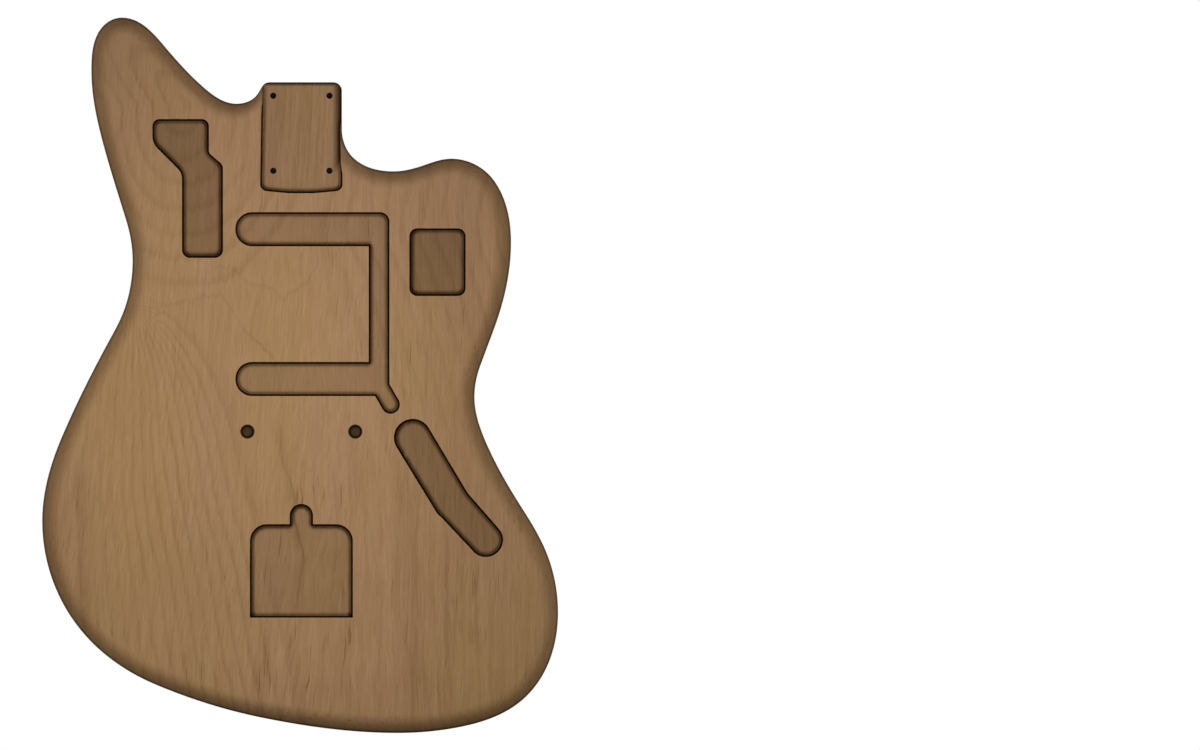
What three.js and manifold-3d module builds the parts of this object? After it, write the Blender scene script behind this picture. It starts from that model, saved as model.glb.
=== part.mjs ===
// Electric guitar body with an offset waist: three alder boards glued edge to edge, cut to the
// outline, rounded over on both faces and routed for the neck, two pickups, three groups of
// controls, the bridge posts and a floating tremolo. Nothing on the bare body moves.
//
// Lengths are in millimetres. +Z runs up the centre line towards the neck, the front face looks
// towards -Y, +X is the treble side, and the origin is the middle of the neck pocket's floor.

import * as THREE from 'three';
import { mergeVertices } from 'three/addons/utils/BufferGeometryUtils.js';
import Module from 'manifold-3d';

// Blank
const bodyLength = 484.4;
const bodyWidth = 349.3;
const bodyThickness = 44.45;
const hornTipHeight = 78.3;

// Rounded edge, which dies out towards the square heel. It is never wider than its share of the
// radius of a tight bend.
const roundoverRadius = 12.7;
const tightBendShare = 0.9;
const heelHeight = 34.5;
const heelSide = 27.4;
const heelCornerRadius = 5.8;
const heelFlare = 58;
const heelNotchReach = 3.2;
const heelNotchDrop = 9.2;
const heelNotchHeading = 48;
const heelNotchRoundShare = 0.6;
const trebleRoundoverStart = 23;
const trebleRoundoverFull = 11;
const heelRootHeight = 3;

// Neck pocket and the four screw holes of the neck
const pocketDepth = 16;
const pocketEndWidth = 56;
const pocketMouthWidth = 53.6;
const pocketEndDistance = 41.1;
const pocketEndBow = 150;
const pocketCorner = 4.8;
const neckScrewSpacingAcross = 38.1;
const neckScrewSpacingAlong = 50.8;
const neckScrewHoleDiameter = 4.2;

// Pickup slots, the wire channel that joins them and its tail towards the controls
const pickupDepth = 17;
const slotHeight = 23.1;
const slotBassReach = 44.7;
const neckPickupDistance = 65;
const bridgePickupDistance = 166.4;
const channelTrebleReach = 59.6;
const channelWidth = 14;
const channelCorner = 6.4;
const tailWidth = 12.5;
const tailTurnDistance = 169.8;
const tailReach = 12.4;
const tailLean = 30;

// Bridge posts
const bridgeDistance = 202;
const bridgePostSpacing = 73;
const bridgePostHoleDiameter = 9.8;
const bridgePostHoleDepth = 28;

// Tremolo
const tremoloDepth = 29;
const tremoloWidth = 69.7;
const tremoloTop = 264.7;
const tremoloHeight = 63.3;
const tremoloCorner = 11.5;
const tremoloTongueWidth = 15.8;
const tremoloTongueLength = 13.7;

// Control cavities. A wall is the wood left beside the pickup slots or the channel, or between the
// cavity and the glued joint next to it. A drop is measured down from the neck pickup's middle.
const controlDepth = 36;
const rhythmLength = 94;
const rhythmWall = 8.4;
const rhythmDrop = 19.4;
const switchWidth = 38.1;
const switchHeight = 45.8;
const switchCorner = 5.4;
const switchWall = 13.5;
const switchDrop = 22.3;
const jointWall = 3.2;

// Drilled wire holes, hidden between the cavities
const wireHoleDiameter = 6.4;
const wireHoleDepth = 10;
const groundHoleDiameter = 3.2;

// How finely the faceted solids follow their curves
const curveTolerance = 0.15;
const roundoverSteps = 5;
const holeSides = 16;
const cutOverrun = 2;

// The outline as seen from the front, clockwise. Each row is a place, across from the centre line
// as a share of the body's width and down from the bass horn's tip as a share of its length, and
// the outline's heading there in degrees: 0 runs towards +X and 90 towards +Z.
const bassCutawayShares = [
  [-0.3478, 0.0000, 0],
  [-0.2534, 0.0502, 311],
  [-0.1889, 0.0979, 319],
  [-0.1260, 0.1204, 0],
];
const trebleSideShares = [
  [0.1045, 0.1984, 320],
  [0.1789, 0.2149, 0],
  [0.2405, 0.2056, 19.5],
  [0.2906, 0.1972, 0],
  [0.3759, 0.2302, 304],
  [0.4065, 0.3144, 270],
  [0.3736, 0.4350, 249.8],
  [0.3470, 0.4864, 249.8],
  [0.3355, 0.5301, 270],
  [0.3622, 0.6007, 294.3],
  [0.4280, 0.6858, 302.6],
  [0.4704, 0.7397, 294.3],
  [0.4976, 0.8315, 270],
  [0.4352, 0.9494, 224],
  [0.3264, 0.9886, 193.5],
  [0.1861, 1.0000, 180],
];
const bassSideShares = [
  [-0.0770, 0.9785, 168.5],
  [-0.2840, 0.9319, 157],
  [-0.4340, 0.8503, 127.4],
  [-0.5024, 0.7036, 90],
  [-0.4638, 0.5853, 66.8],
  [-0.3716, 0.4502, 61.3],
  [-0.3493, 0.4189, 66.5],
  [-0.3272, 0.3392, 90],
  [-0.3404, 0.2816, 107.3],
  [-0.3799, 0.1879, 105.5],
  [-0.4071, 0.0749, 90],
  [-0.3939, 0.0213, 61],
];

// The rhythm cavity's corners, clockwise, as shares of its length: across from the treble side of
// its stem, up from its lower end, and the corner's radius.
const rhythmCavityShares = [
  [-0.508, 1, 0.052],
  [-0.101, 1, 0.052],
  [-0.101, 0.755, 0.037],
  [0, 0.669, 0.055],
  [0, 0, 0.058],
  [-0.295, 0, 0.058],
  [-0.295, 0.612, 0.093],
  [-0.508, 0.825, 0.113],
];

// The control cavity's two ends and its bend: the middle, placed as on the outline, and half the
// cavity's width there as a share of the body's width.
const controlCavityShares = [
  [0.2159, 0.5873, 0.0366],
  [0.2912, 0.6771, 0.0355],
  [0.3579, 0.7302, 0.0326],
];

const frontFace = -pocketDepth;
const backFace = frontFace + bodyThickness;
const { degToRad } = THREE.MathUtils;

const wasm = await Module();
wasm.setup();

function place(acrossShare, downShare) {
  return new THREE.Vector2(acrossShare * bodyWidth, hornTipHeight - downShare * bodyLength);
}

function direction(heading) {
  return new THREE.Vector2(Math.cos(degToRad(heading)), Math.sin(degToRad(heading)));
}

function shortestTurn(angle) {
  return Math.atan2(Math.sin(angle), Math.cos(angle));
}

// A stop of the outline: a place, the outline's heading there, and how much of the roundover
// radius is left, from 1 along the edge to 0 on the square heel.
function stop(at, heading, round = 1) {
  return { at, heading, round };
}

function sharedStops(rows) {
  return rows.map(([across, down, heading]) => stop(place(across, down), heading));
}

function heelStops() {
  const notch = new THREE.Vector2(-heelSide - heelNotchReach, heelHeight - heelNotchDrop);
  const top = heelSide - heelCornerRadius;
  const bassCorner = new THREE.Vector2(-top, heelHeight - heelCornerRadius);
  const flareStart = direction(90 + heelFlare).multiplyScalar(heelCornerRadius).add(bassCorner);
  return [
    stop(notch, heelNotchHeading, heelNotchRoundShare),
    stop(flareStart, heelFlare, 0),
    stop(new THREE.Vector2(-top, heelHeight), 0, 0),
    stop(new THREE.Vector2(top, heelHeight), 0, 0),
    stop(new THREE.Vector2(heelSide, heelHeight - heelCornerRadius), 270, 0),
    stop(new THREE.Vector2(heelSide, trebleRoundoverStart), 270, 0),
    stop(new THREE.Vector2(heelSide, trebleRoundoverFull), 270),
    stop(new THREE.Vector2(heelSide, heelRootHeight), 270),
  ];
}

// The stretch of outline between two stops, without its last point. Its handles are those that
// draw a circular arc when the stops lie on one.
function stretch(from, to) {
  const chord = to.at.clone().sub(from.at);
  const turn = shortestTurn(degToRad(to.heading - from.heading));
  const handle = chord.length() / (3 * Math.cos(turn / 4) ** 2);
  const leaving = direction(from.heading);
  const arriving = direction(to.heading);
  const curve = new THREE.CubicBezierCurve(
    from.at,
    from.at.clone().addScaledVector(leaving, handle),
    to.at.clone().addScaledVector(arriving, -handle),
    to.at,
  );
  const bending = leaving.angleTo(chord) + arriving.angleTo(chord);
  const steps = Math.max(1, Math.ceil(Math.sqrt(chord.length() * bending / (8 * curveTolerance))));
  return curve.getPoints(steps).slice(0, -1).map((at, step) => (
    { at, round: THREE.MathUtils.lerp(from.round, to.round, step / steps) }
  ));
}

function bodyOutline() {
  const stops = [
    ...sharedStops(bassCutawayShares),
    ...heelStops(),
    ...sharedStops(trebleSideShares),
    ...sharedStops(bassSideShares),
  ];
  return stops.flatMap((from, index) => stretch(from, stops[(index + 1) % stops.length]));
}

// The circle through three neighbouring points of the outline: which way it runs at the middle
// one, and its radius, without end where the outline runs straight or bends into the wood.
function bend(before, at, after) {
  const [toAt, toAfter] = [at.clone().sub(before), after.clone().sub(at)];
  const [near, far] = [toAt.length(), toAfter.length()];
  const radius = near * far * before.distanceTo(after) / (2 * Math.max(0, toAfter.cross(toAt)));
  const along = toAt.multiplyScalar(far / near).addScaledVector(toAfter, near / far);
  return { along: along.normalize(), radius };
}

// One ring of the slab's edge: the outline drawn in and set at its depth, where angle runs from 0
// on the flat face to a right angle on the side.
function edgeRing(outline, angle, face, inward) {
  return outline.map(({ at, round }, index) => {
    const before = outline.at(index - 1).at;
    const after = outline[(index + 1) % outline.length].at;
    const { along, radius: bendRadius } = bend(before, at, after);
    const radius = Math.min(roundoverRadius * round, tightBendShare * bendRadius);
    const inset = radius * (1 - Math.sin(angle));
    const depth = radius * (1 - Math.cos(angle));
    return new THREE.Vector3(at.x + along.y * inset, face + inward * depth, at.y - along.x * inset);
  });
}

// The whole blank with both edges rounded over, as a skin of rings closed by two flat faces.
function roundedBlank(outline) {
  const stepCount = { length: roundoverSteps + 1 };
  const angles = Array.from(stepCount, (_, step) => step / roundoverSteps * Math.PI / 2);
  const rings = [
    ...angles.map((angle) => edgeRing(outline, angle, frontFace, 1)),
    ...angles.toReversed().map((angle) => edgeRing(outline, angle, backFace, -1)),
  ];
  const corners = [];
  for (let ring = 0; ring < rings.length - 1; ring += 1) {
    for (let index = 0; index < outline.length; index += 1) {
      const next = (index + 1) % outline.length;
      const [a, b] = [rings[ring][index], rings[ring][next]];
      const [c, d] = [rings[ring + 1][next], rings[ring + 1][index]];
      corners.push(a, b, c, a, c, d);
    }
  }
  for (const [ring, isFront] of [[rings[0], true], [rings.at(-1), false]]) {
    const flat = ring.map(({ x, z }) => new THREE.Vector2(x, z));
    for (const [a, b, c] of THREE.ShapeUtils.triangulateShape(flat, [])) {
      corners.push(ring[a], ring[isFront ? b : c], ring[isFront ? c : b]);
    }
  }
  return new THREE.BufferGeometry().setFromPoints(corners);
}

// A closed solid from a geometry, with its shared corners merged and its empty triangles dropped.
function solid(geometry) {
  const bare = geometry.clone();
  bare.deleteAttribute('normal');
  bare.deleteAttribute('uv');
  const merged = mergeVertices(bare);
  const faces = [];
  for (let corner = 0; corner < merged.index.count; corner += 3) {
    const face = [0, 1, 2].map((offset) => merged.index.getX(corner + offset));
    if (new Set(face).size === 3) faces.push(...face);
  }
  return new wasm.Manifold(new wasm.Mesh({
    numProp: 3,
    vertProperties: merged.getAttribute('position').array,
    triVerts: new Uint32Array(faces),
  }));
}

// A straight-sided block with the given outline, from in front of the front face to the given depth.
function routed(shape, depth) {
  const geometry = new THREE.ExtrudeGeometry(shape, { depth: depth + cutOverrun, bevelEnabled: false });
  geometry.rotateX(Math.PI / 2);
  geometry.translate(0, frontFace + depth, 0);
  return solid(geometry);
}

function arcPoints(centre, radius, fromAngle, toAngle) {
  const turn = toAngle - fromAngle;
  const steps = Math.max(1, Math.ceil(Math.abs(turn) * Math.sqrt(radius / (8 * curveTolerance))));
  return Array.from({ length: steps + 1 }, (_, step) => {
    const angle = fromAngle + turn * step / steps;
    return new THREE.Vector2(centre.x + radius * Math.cos(angle), centre.y + radius * Math.sin(angle));
  });
}

// The outline of a pocket with straight sides and rounded corners, each given as [place, radius].
function roundedShape(corners) {
  const points = corners.flatMap(([at, radius], index) => {
    if (radius === 0) return [at];
    const before = corners.at(index - 1)[0].clone().sub(at).normalize();
    const after = corners[(index + 1) % corners.length][0].clone().sub(at).normalize();
    const half = before.angleTo(after) / 2;
    const centre = before.clone().add(after).normalize().multiplyScalar(radius / Math.sin(half)).add(at);
    const [start, end] = [before, after].map((side) => (
      side.clone().multiplyScalar(radius / Math.tan(half)).add(at).sub(centre).angle()
    ));
    return arcPoints(centre, radius, start, start + shortestTurn(end - start));
  });
  return new THREE.Shape(points);
}

// The outline of a round-ended pocket whose width may change from one end to the other.
function capsuleShape(start, startRadius, end, endRadius) {
  const along = end.clone().sub(start);
  const side = Math.acos((startRadius - endRadius) / along.length());
  const heading = along.angle();
  return new THREE.Shape([
    ...arcPoints(start, startRadius, heading + side, heading + 2 * Math.PI - side),
    ...arcPoints(end, endRadius, heading - side, heading + side),
  ]);
}

// A round hole between two points.
function drilled(from, to, diameter) {
  const along = to.clone().sub(from);
  const geometry = new THREE.CylinderGeometry(diameter / 2, diameter / 2, along.length(), holeSides);
  geometry.applyQuaternion(new THREE.Quaternion().setFromUnitVectors(
    new THREE.Vector3(0, 1, 0),
    along.clone().normalize(),
  ));
  const middle = from.clone().lerp(to, 1 / 2);
  geometry.translate(middle.x, middle.y, middle.z);
  return solid(geometry);
}

// The neck pocket has a wall of wood along its bass side. Its treble wall thins out at the root of
// the heel, and above that the pocket runs out over the heel's treble side.
function neckPocket() {
  const bowMiddle = pocketEndBow - pocketEndDistance;
  const bowHalf = Math.asin((pocketEndWidth / 2 - pocketCorner) / pocketEndBow);
  const [bowStart, bowEnd] = [-1, 1].map((side) => side * bowHalf - Math.PI / 2);
  const bow = arcPoints(new THREE.Vector2(0, bowMiddle), pocketEndBow, bowStart, bowEnd);
  const cornerHeight = bow[0].y + pocketCorner;
  const mouthHeight = heelHeight + cutOverrun;
  const shape = new THREE.Shape();
  shape.moveTo(-pocketMouthWidth / 2, mouthHeight);
  shape.lineTo(-pocketEndWidth / 2, cornerHeight);
  shape.quadraticCurveTo(-pocketEndWidth / 2, bow[0].y, bow[0].x, bow[0].y);
  bow.slice(1).forEach(({ x, y }) => shape.lineTo(x, y));
  shape.quadraticCurveTo(pocketEndWidth / 2, bow[0].y, pocketEndWidth / 2, cornerHeight);
  shape.lineTo(heelSide, 0);
  shape.lineTo(heelSide + cutOverrun, mouthHeight);
  shape.closePath();
  return routed(shape, pocketDepth);
}

function neckScrewHoles() {
  return [-1, 1].flatMap((side) => [-1, 1].map((end) => {
    const x = side * neckScrewSpacingAcross / 2;
    const z = end * neckScrewSpacingAlong / 2;
    const start = new THREE.Vector3(x, -cutOverrun, z);
    return drilled(start, new THREE.Vector3(x, backFace + cutOverrun, z), neckScrewHoleDiameter);
  }));
}

// The lower end of the rhythm cavity's stem, on its treble side.
function rhythmCorner() {
  return new THREE.Vector2(-slotBassReach - rhythmWall, -neckPickupDistance - rhythmDrop);
}

function rhythmCavity() {
  const corners = rhythmCavityShares.map(([across, up, radius]) => {
    const at = new THREE.Vector2(across, up).multiplyScalar(rhythmLength).add(rhythmCorner());
    return [at, radius * rhythmLength];
  });
  return routed(roundedShape(corners), controlDepth);
}

// The two ends of the tail's middle line. It leaves the channel's treble side, leaning outwards.
function tailLine() {
  const turn = new THREE.Vector2(channelTrebleReach, -tailTurnDistance);
  const root = direction(180 + tailLean).multiplyScalar(tailWidth / 2).add(turn);
  return [root, direction(270 + tailLean).multiplyScalar(tailReach).add(root)];
}

function pickupSlotsAndChannel() {
  const channelBassReach = channelTrebleReach - channelWidth;
  const corner = (x, z, radius) => [new THREE.Vector2(x, z), radius];
  const [neckTop, neckBottom] = [1, -1].map((side) => -neckPickupDistance + side * slotHeight / 2);
  const [bridgeTop, bridgeBottom] = [1, -1].map((side) => -bridgePickupDistance + side * slotHeight / 2);
  const [tailRoot, tailEnd] = tailLine();
  const slots = roundedShape([
    corner(-slotBassReach, neckTop, slotHeight / 2),
    corner(channelTrebleReach, neckTop, channelCorner),
    corner(channelTrebleReach, -tailTurnDistance, 0),
    corner(tailRoot.x, bridgeBottom, 0),
    corner(-slotBassReach, bridgeBottom, slotHeight / 2),
    corner(-slotBassReach, bridgeTop, slotHeight / 2),
    corner(channelBassReach, bridgeTop, 0),
    corner(channelBassReach, neckBottom, 0),
    corner(-slotBassReach, neckBottom, slotHeight / 2),
  ]);
  const tail = capsuleShape(tailRoot, tailWidth / 2, tailEnd, tailWidth / 2);
  return routed(slots, pickupDepth).add(routed(tail, pickupDepth));
}

function switchMiddle() {
  const x = channelTrebleReach + switchWall + switchWidth / 2;
  return new THREE.Vector2(x, -neckPickupDistance - switchDrop);
}

function switchCavity() {
  const corners = [[-1, 1], [1, 1], [1, -1], [-1, -1]].map(([side, end]) => {
    const toCorner = new THREE.Vector2(side * switchWidth / 2, end * switchHeight / 2);
    return [toCorner.add(switchMiddle()), switchCorner];
  });
  return routed(roundedShape(corners), controlDepth);
}

// The control cavity's two ends and its bend, each as [middle, half width].
function controlRounds() {
  return controlCavityShares.map(([across, down, half]) => [place(across, down), half * bodyWidth]);
}

function controlCavity() {
  const [top, bend, bottom] = controlRounds();
  return routed(capsuleShape(...top, ...bend), controlDepth)
    .add(routed(capsuleShape(...bend, ...bottom), controlDepth));
}

function bridgePostHoles() {
  return [-1, 1].map((side) => {
    const mouth = new THREE.Vector3(side * bridgePostSpacing / 2, frontFace - cutOverrun, -bridgeDistance);
    const floor = mouth.clone().setY(frontFace + bridgePostHoleDepth);
    return drilled(mouth, floor, bridgePostHoleDiameter);
  });
}

function tremoloCavity() {
  const corner = (side, z, radius) => [new THREE.Vector2(side * tremoloWidth / 2, z), radius];
  const body = roundedShape([
    corner(-1, -tremoloTop, tremoloCorner),
    corner(1, -tremoloTop, tremoloCorner),
    corner(1, -tremoloTop - tremoloHeight, 0),
    corner(-1, -tremoloTop - tremoloHeight, 0),
  ]);
  const tongueRadius = tremoloTongueWidth / 2;
  const tongueTop = new THREE.Vector2(0, -tremoloTop + tremoloTongueLength - tongueRadius);
  const tongueRoot = new THREE.Vector2(0, -tremoloTop - tremoloTongueWidth);
  const tongue = capsuleShape(tongueTop, tongueRadius, tongueRoot, tongueRadius);
  return routed(body, tremoloDepth).add(routed(tongue, tremoloDepth));
}

// Holes drilled between the cavities for the pickup, switch and control wires, and one from the
// bridge pickup's slot to the treble bridge post for the ground wire.
function wireHoles() {
  const y = frontFace + wireHoleDepth;
  const switchSide = switchMiddle();
  const [[controlTop]] = controlRounds();
  const [, tailEnd] = tailLine();
  const post = bridgePostSpacing / 2;
  return [
    drilled(
      new THREE.Vector3(rhythmCorner().x - wireHoleDiameter, y, -neckPickupDistance),
      new THREE.Vector3(-slotBassReach + wireHoleDiameter, y, -neckPickupDistance),
      wireHoleDiameter,
    ),
    drilled(
      new THREE.Vector3(channelTrebleReach - wireHoleDiameter, y, switchSide.y),
      new THREE.Vector3(switchSide.x, y, switchSide.y),
      wireHoleDiameter,
    ),
    drilled(
      new THREE.Vector3(tailEnd.x, y, tailEnd.y),
      new THREE.Vector3(controlTop.x, y, controlTop.y),
      wireHoleDiameter,
    ),
    drilled(
      new THREE.Vector3(post, y, -bridgePickupDistance),
      new THREE.Vector3(post, y, -bridgeDistance),
      groundHoleDiameter,
    ),
  ];
}

// One board of the glued blank: what of the body lies between two planes across its width.
function board(body, bassEdge, trebleEdge) {
  const slab = new THREE.Shape([
    new THREE.Vector2(bassEdge, bodyLength),
    new THREE.Vector2(bassEdge, -bodyLength),
    new THREE.Vector2(trebleEdge, -bodyLength),
    new THREE.Vector2(trebleEdge, bodyLength),
  ]);
  return body.intersect(routed(slab, bodyThickness + cutOverrun));
}

function namedMesh(name, body, color) {
  const { numProp, vertProperties, triVerts } = body.getMesh();
  const geometry = new THREE.BufferGeometry();
  geometry.setAttribute('position', new THREE.BufferAttribute(vertProperties, numProp));
  geometry.setIndex(new THREE.BufferAttribute(triVerts, 1));
  const material = new THREE.MeshStandardMaterial({ color, roughness: 0.75, flatShading: true });
  const mesh = new THREE.Mesh(geometry, material);
  mesh.name = name;
  return mesh;
}

const cuts = [
  neckPocket(),
  ...neckScrewHoles(),
  rhythmCavity(),
  pickupSlotsAndChannel(),
  switchCavity(),
  controlCavity(),
  ...bridgePostHoles(),
  tremoloCavity(),
  ...wireHoles(),
];
const body = cuts.reduce((rest, cut) => rest.subtract(cut), solid(roundedBlank(bodyOutline())));
const bassJoint = rhythmCorner().x + jointWall;
const trebleJoint = switchMiddle().x - switchWidth / 2 - jointWall;

const guitarBody = new THREE.Group();
guitarBody.add(namedMesh('bass_side_board', board(body, -bodyWidth, bassJoint), 0xa27f5b));
guitarBody.add(namedMesh('centre_board', board(body, bassJoint, trebleJoint), 0x9f7c59));
guitarBody.add(namedMesh('treble_side_board', board(body, trebleJoint, bodyWidth), 0xa07b57));

export default guitarBody;
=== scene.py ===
"""Bare alder body of an electric guitar with an offset waist, dressed for rendering.

Three boards are glued edge to edge, cut to the outline, rounded over on both faces and routed
for the neck, two pickups, three groups of controls, the bridge posts and a floating tremolo.

Sizes are in millimetres, the wood's figure is in inches, and meshes, lamps and the camera are in
metres. +Z runs up the centre line towards the neck, the front face looks towards -Y, +X is the
treble side, and the origin is the middle of the neck pocket's floor.
"""

import logging
import math
from dataclasses import dataclass, field
from enum import Enum
from itertools import product
from typing import Self

import bmesh
import bpy
from bmesh.types import BMesh, BMFace, BMVert
from bpy.types import ID, Light, Material, Mesh, NodeSocket, NodeTree, Object
from mathutils import Matrix, Vector, geometry


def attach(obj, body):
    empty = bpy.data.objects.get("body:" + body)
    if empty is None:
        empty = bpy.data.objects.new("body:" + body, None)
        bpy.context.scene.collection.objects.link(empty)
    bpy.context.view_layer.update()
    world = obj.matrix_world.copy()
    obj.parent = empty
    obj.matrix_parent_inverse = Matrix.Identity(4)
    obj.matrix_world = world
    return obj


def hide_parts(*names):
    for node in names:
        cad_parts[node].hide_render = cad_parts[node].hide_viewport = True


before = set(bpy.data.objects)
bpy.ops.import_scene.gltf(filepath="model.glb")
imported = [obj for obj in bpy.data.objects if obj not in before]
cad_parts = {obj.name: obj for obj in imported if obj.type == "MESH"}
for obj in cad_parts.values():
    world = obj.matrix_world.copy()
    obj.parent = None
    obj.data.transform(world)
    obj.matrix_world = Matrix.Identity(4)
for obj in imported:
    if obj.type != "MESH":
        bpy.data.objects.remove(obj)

LOG = logging.getLogger("guitar_body")
MM = 0.001
FRONT = -16.0
BACK = 28.45
POCKET_FLOOR = 0.0

Pair = tuple[float, float]
Triple = tuple[float, float, float]


class Board(Enum):
    """One board of the glued blank: the CAD node it stands for, and its piece's name."""

    BASS = ("bass_side_board", "alder_board_bass")
    CENTRE = ("centre_board", "alder_board_centre")
    TREBLE = ("treble_side_board", "alder_board_treble")

    @property
    def node(self) -> str:
        """The CAD node that the board's piece replaces."""
        return self.value[0]

    @property
    def piece(self) -> str:
        """The name of the board's own piece."""
        return self.value[1]


def heading_vector(heading: float) -> Vector:
    """Turns a heading in degrees, from +X towards +Z, into the direction (x, z, 0) of length one."""
    angle = math.radians(heading)
    return Vector((math.cos(angle), math.sin(angle), 0.0))


def linked(name: str, data: ID) -> Object:
    """Makes an object of a mesh, a light or a camera, and links it to the scene.

    Args:
        name: The object's name.
        data: What it is made of.

    Returns:
        The object, at the origin.
    """
    thing = bpy.data.objects.new(name, data)
    bpy.context.scene.collection.objects.link(thing)
    return thing


def new_object(name: str, shape: BMesh, finish: Material) -> Object:
    """Makes an object of a finished shape, and frees the shape.

    Args:
        name: The object's name.
        shape: The shape, in millimetres and in place.
        finish: The material of all its faces.

    Returns:
        The object, with its place in its mesh.
    """
    bmesh.ops.recalc_face_normals(shape, faces=shape.faces)
    bmesh.ops.scale(shape, verts=shape.verts, vec=(MM, MM, MM))
    mesh = bpy.data.meshes.new(name)
    shape.to_mesh(mesh)
    shape.free()
    mesh.materials.append(finish)
    return linked(name, mesh)


# The outline and the blank


@dataclass(frozen=True)
class Stop:
    """A stop of the outline, in millimetres.

    The round share is how much of the roundover is left there, from 1 along the edge to 0 on
    the square heel, and the ease share how much of the heel's small ease at the pocket's floor.
    """

    x: float
    z: float
    heading: float
    round_share: float = 1.0
    ease_share: float = 0.0


@dataclass(frozen=True)
class OutlinePoint:
    """A point of the finely drawn outline, with the direction into the wood."""

    at: Vector
    inward: Vector
    round_share: float
    ease_share: float


@dataclass
class BodyOutline:
    """The outline as seen from the front, clockwise.

    Each shared row is a place, across from the centre line as a share of the width and down
    from the bass horn's tip as a share of the length, and the outline's heading there.
    """

    length: float = 484.4
    width: float = 349.3
    horn_tip_height: float = 78.3
    heel_height: float = 34.5
    heel_side: float = 27.4
    heel_corner_radius: float = 5.8
    heel_flare: float = 58.0
    flare_ease: float = 0.4
    root_ease: float = 0.8
    notch: Stop = Stop(-30.6, 25.3, 48.0, round_share=0.6)
    treble_roundover_start: float = 23.0
    treble_roundover_full: float = 11.0
    heel_root_height: float = 3.0
    tolerance: float = 0.02
    bass_cutaway: tuple[Triple, ...] = (
        (-0.3478, 0.0000, 0),
        (-0.2534, 0.0502, 311),
        (-0.1889, 0.0979, 319),
        (-0.1260, 0.1204, 0),
    )
    treble_side: tuple[Triple, ...] = (
        (0.1045, 0.1984, 320),
        (0.1789, 0.2149, 0),
        (0.2405, 0.2056, 19.5),
        (0.2906, 0.1972, 0),
        (0.3759, 0.2302, 304),
        (0.4065, 0.3144, 270),
        (0.3736, 0.4350, 249.8),
        (0.3470, 0.4864, 249.8),
        (0.3355, 0.5301, 270),
        (0.3622, 0.6007, 294.3),
        (0.4280, 0.6858, 302.6),
        (0.4704, 0.7397, 294.3),
        (0.4976, 0.8315, 270),
        (0.4352, 0.9494, 224),
        (0.3264, 0.9886, 193.5),
        (0.1861, 1.0000, 180),
    )
    bass_side: tuple[Triple, ...] = (
        (-0.0770, 0.9785, 168.5),
        (-0.2840, 0.9319, 157),
        (-0.4340, 0.8503, 127.4),
        (-0.5024, 0.7036, 90),
        (-0.4638, 0.5853, 66.8),
        (-0.3716, 0.4502, 61.3),
        (-0.3493, 0.4189, 66.5),
        (-0.3272, 0.3392, 90),
        (-0.3404, 0.2816, 107.3),
        (-0.3799, 0.1879, 105.5),
        (-0.4071, 0.0749, 90),
        (-0.3939, 0.0213, 61),
    )

    def place(self, across: float, down: float) -> Pair:
        """Turns shares of the width and the length, as in the shared rows, into the place (x, z)."""
        return across * self.width, self.horn_tip_height - down * self.length

    def heel_stops(self) -> list[Stop]:
        """Lays out the square heel, from the notch on its bass side to its treble root.

        Returns:
            The heel's stops, clockwise.
        """
        top = self.heel_side - self.heel_corner_radius
        side = self.heel_height - self.heel_corner_radius
        flare = heading_vector(90.0 + self.heel_flare) * self.heel_corner_radius
        return [
            self.notch,
            Stop(flare.x - top, flare.y + side, self.heel_flare, 0.0, self.flare_ease),
            Stop(-top, self.heel_height, 0.0, 0.0, 1.0),
            Stop(top, self.heel_height, 0.0, 0.0, 1.0),
            Stop(self.heel_side, side, 270.0, 0.0, 1.0),
            Stop(self.heel_side, self.treble_roundover_start, 270.0, 0.0, 1.0),
            Stop(self.heel_side, self.treble_roundover_full, 270.0, 1.0, 1.0),
            Stop(self.heel_side, self.heel_root_height, 270.0, 1.0, self.root_ease),
        ]

    def stops(self) -> list[Stop]:
        """Gathers the whole outline's stops, clockwise.

        Returns:
            The stops, from the bass horn's tip round to the stop before it.
        """
        cutaway, treble, bass = (
            [Stop(*self.place(across, down), heading) for across, down, heading in rows]
            for rows in (self.bass_cutaway, self.treble_side, self.bass_side)
        )
        return [*cutaway, *self.heel_stops(), *treble, *bass]

    def stretch(self, start: Stop, end: Stop) -> list[tuple[Vector, float, float]]:
        """Draws the outline between two stops, without its last point.

        The handles are those that draw a circular arc when the stops lie on one.

        Args:
            start: The stop it leaves.
            end: The stop it arrives at.

        Returns:
            Each point with its round share and its ease share.
        """
        first, last = Vector((start.x, start.z, 0.0)), Vector((end.x, end.z, 0.0))
        chord = last - first
        turn = math.remainder(math.radians(end.heading - start.heading), math.tau)
        handle = chord.length / (3.0 * math.cos(turn / 4.0) ** 2)
        leaving, arriving = heading_vector(start.heading), heading_vector(end.heading)
        bending = leaving.angle(chord) + arriving.angle(chord)
        steps = max(1, math.ceil(math.sqrt(chord.length * bending / (8.0 * self.tolerance))))
        places = geometry.interpolate_bezier(
            first, first + leaving * handle, last - arriving * handle, last, steps + 1
        )
        shares = [step / steps for step in range(steps)]
        return [
            (
                at,
                start.round_share + (end.round_share - start.round_share) * share,
                start.ease_share + (end.ease_share - start.ease_share) * share,
            )
            for at, share in zip(places, shares)
        ]

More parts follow.
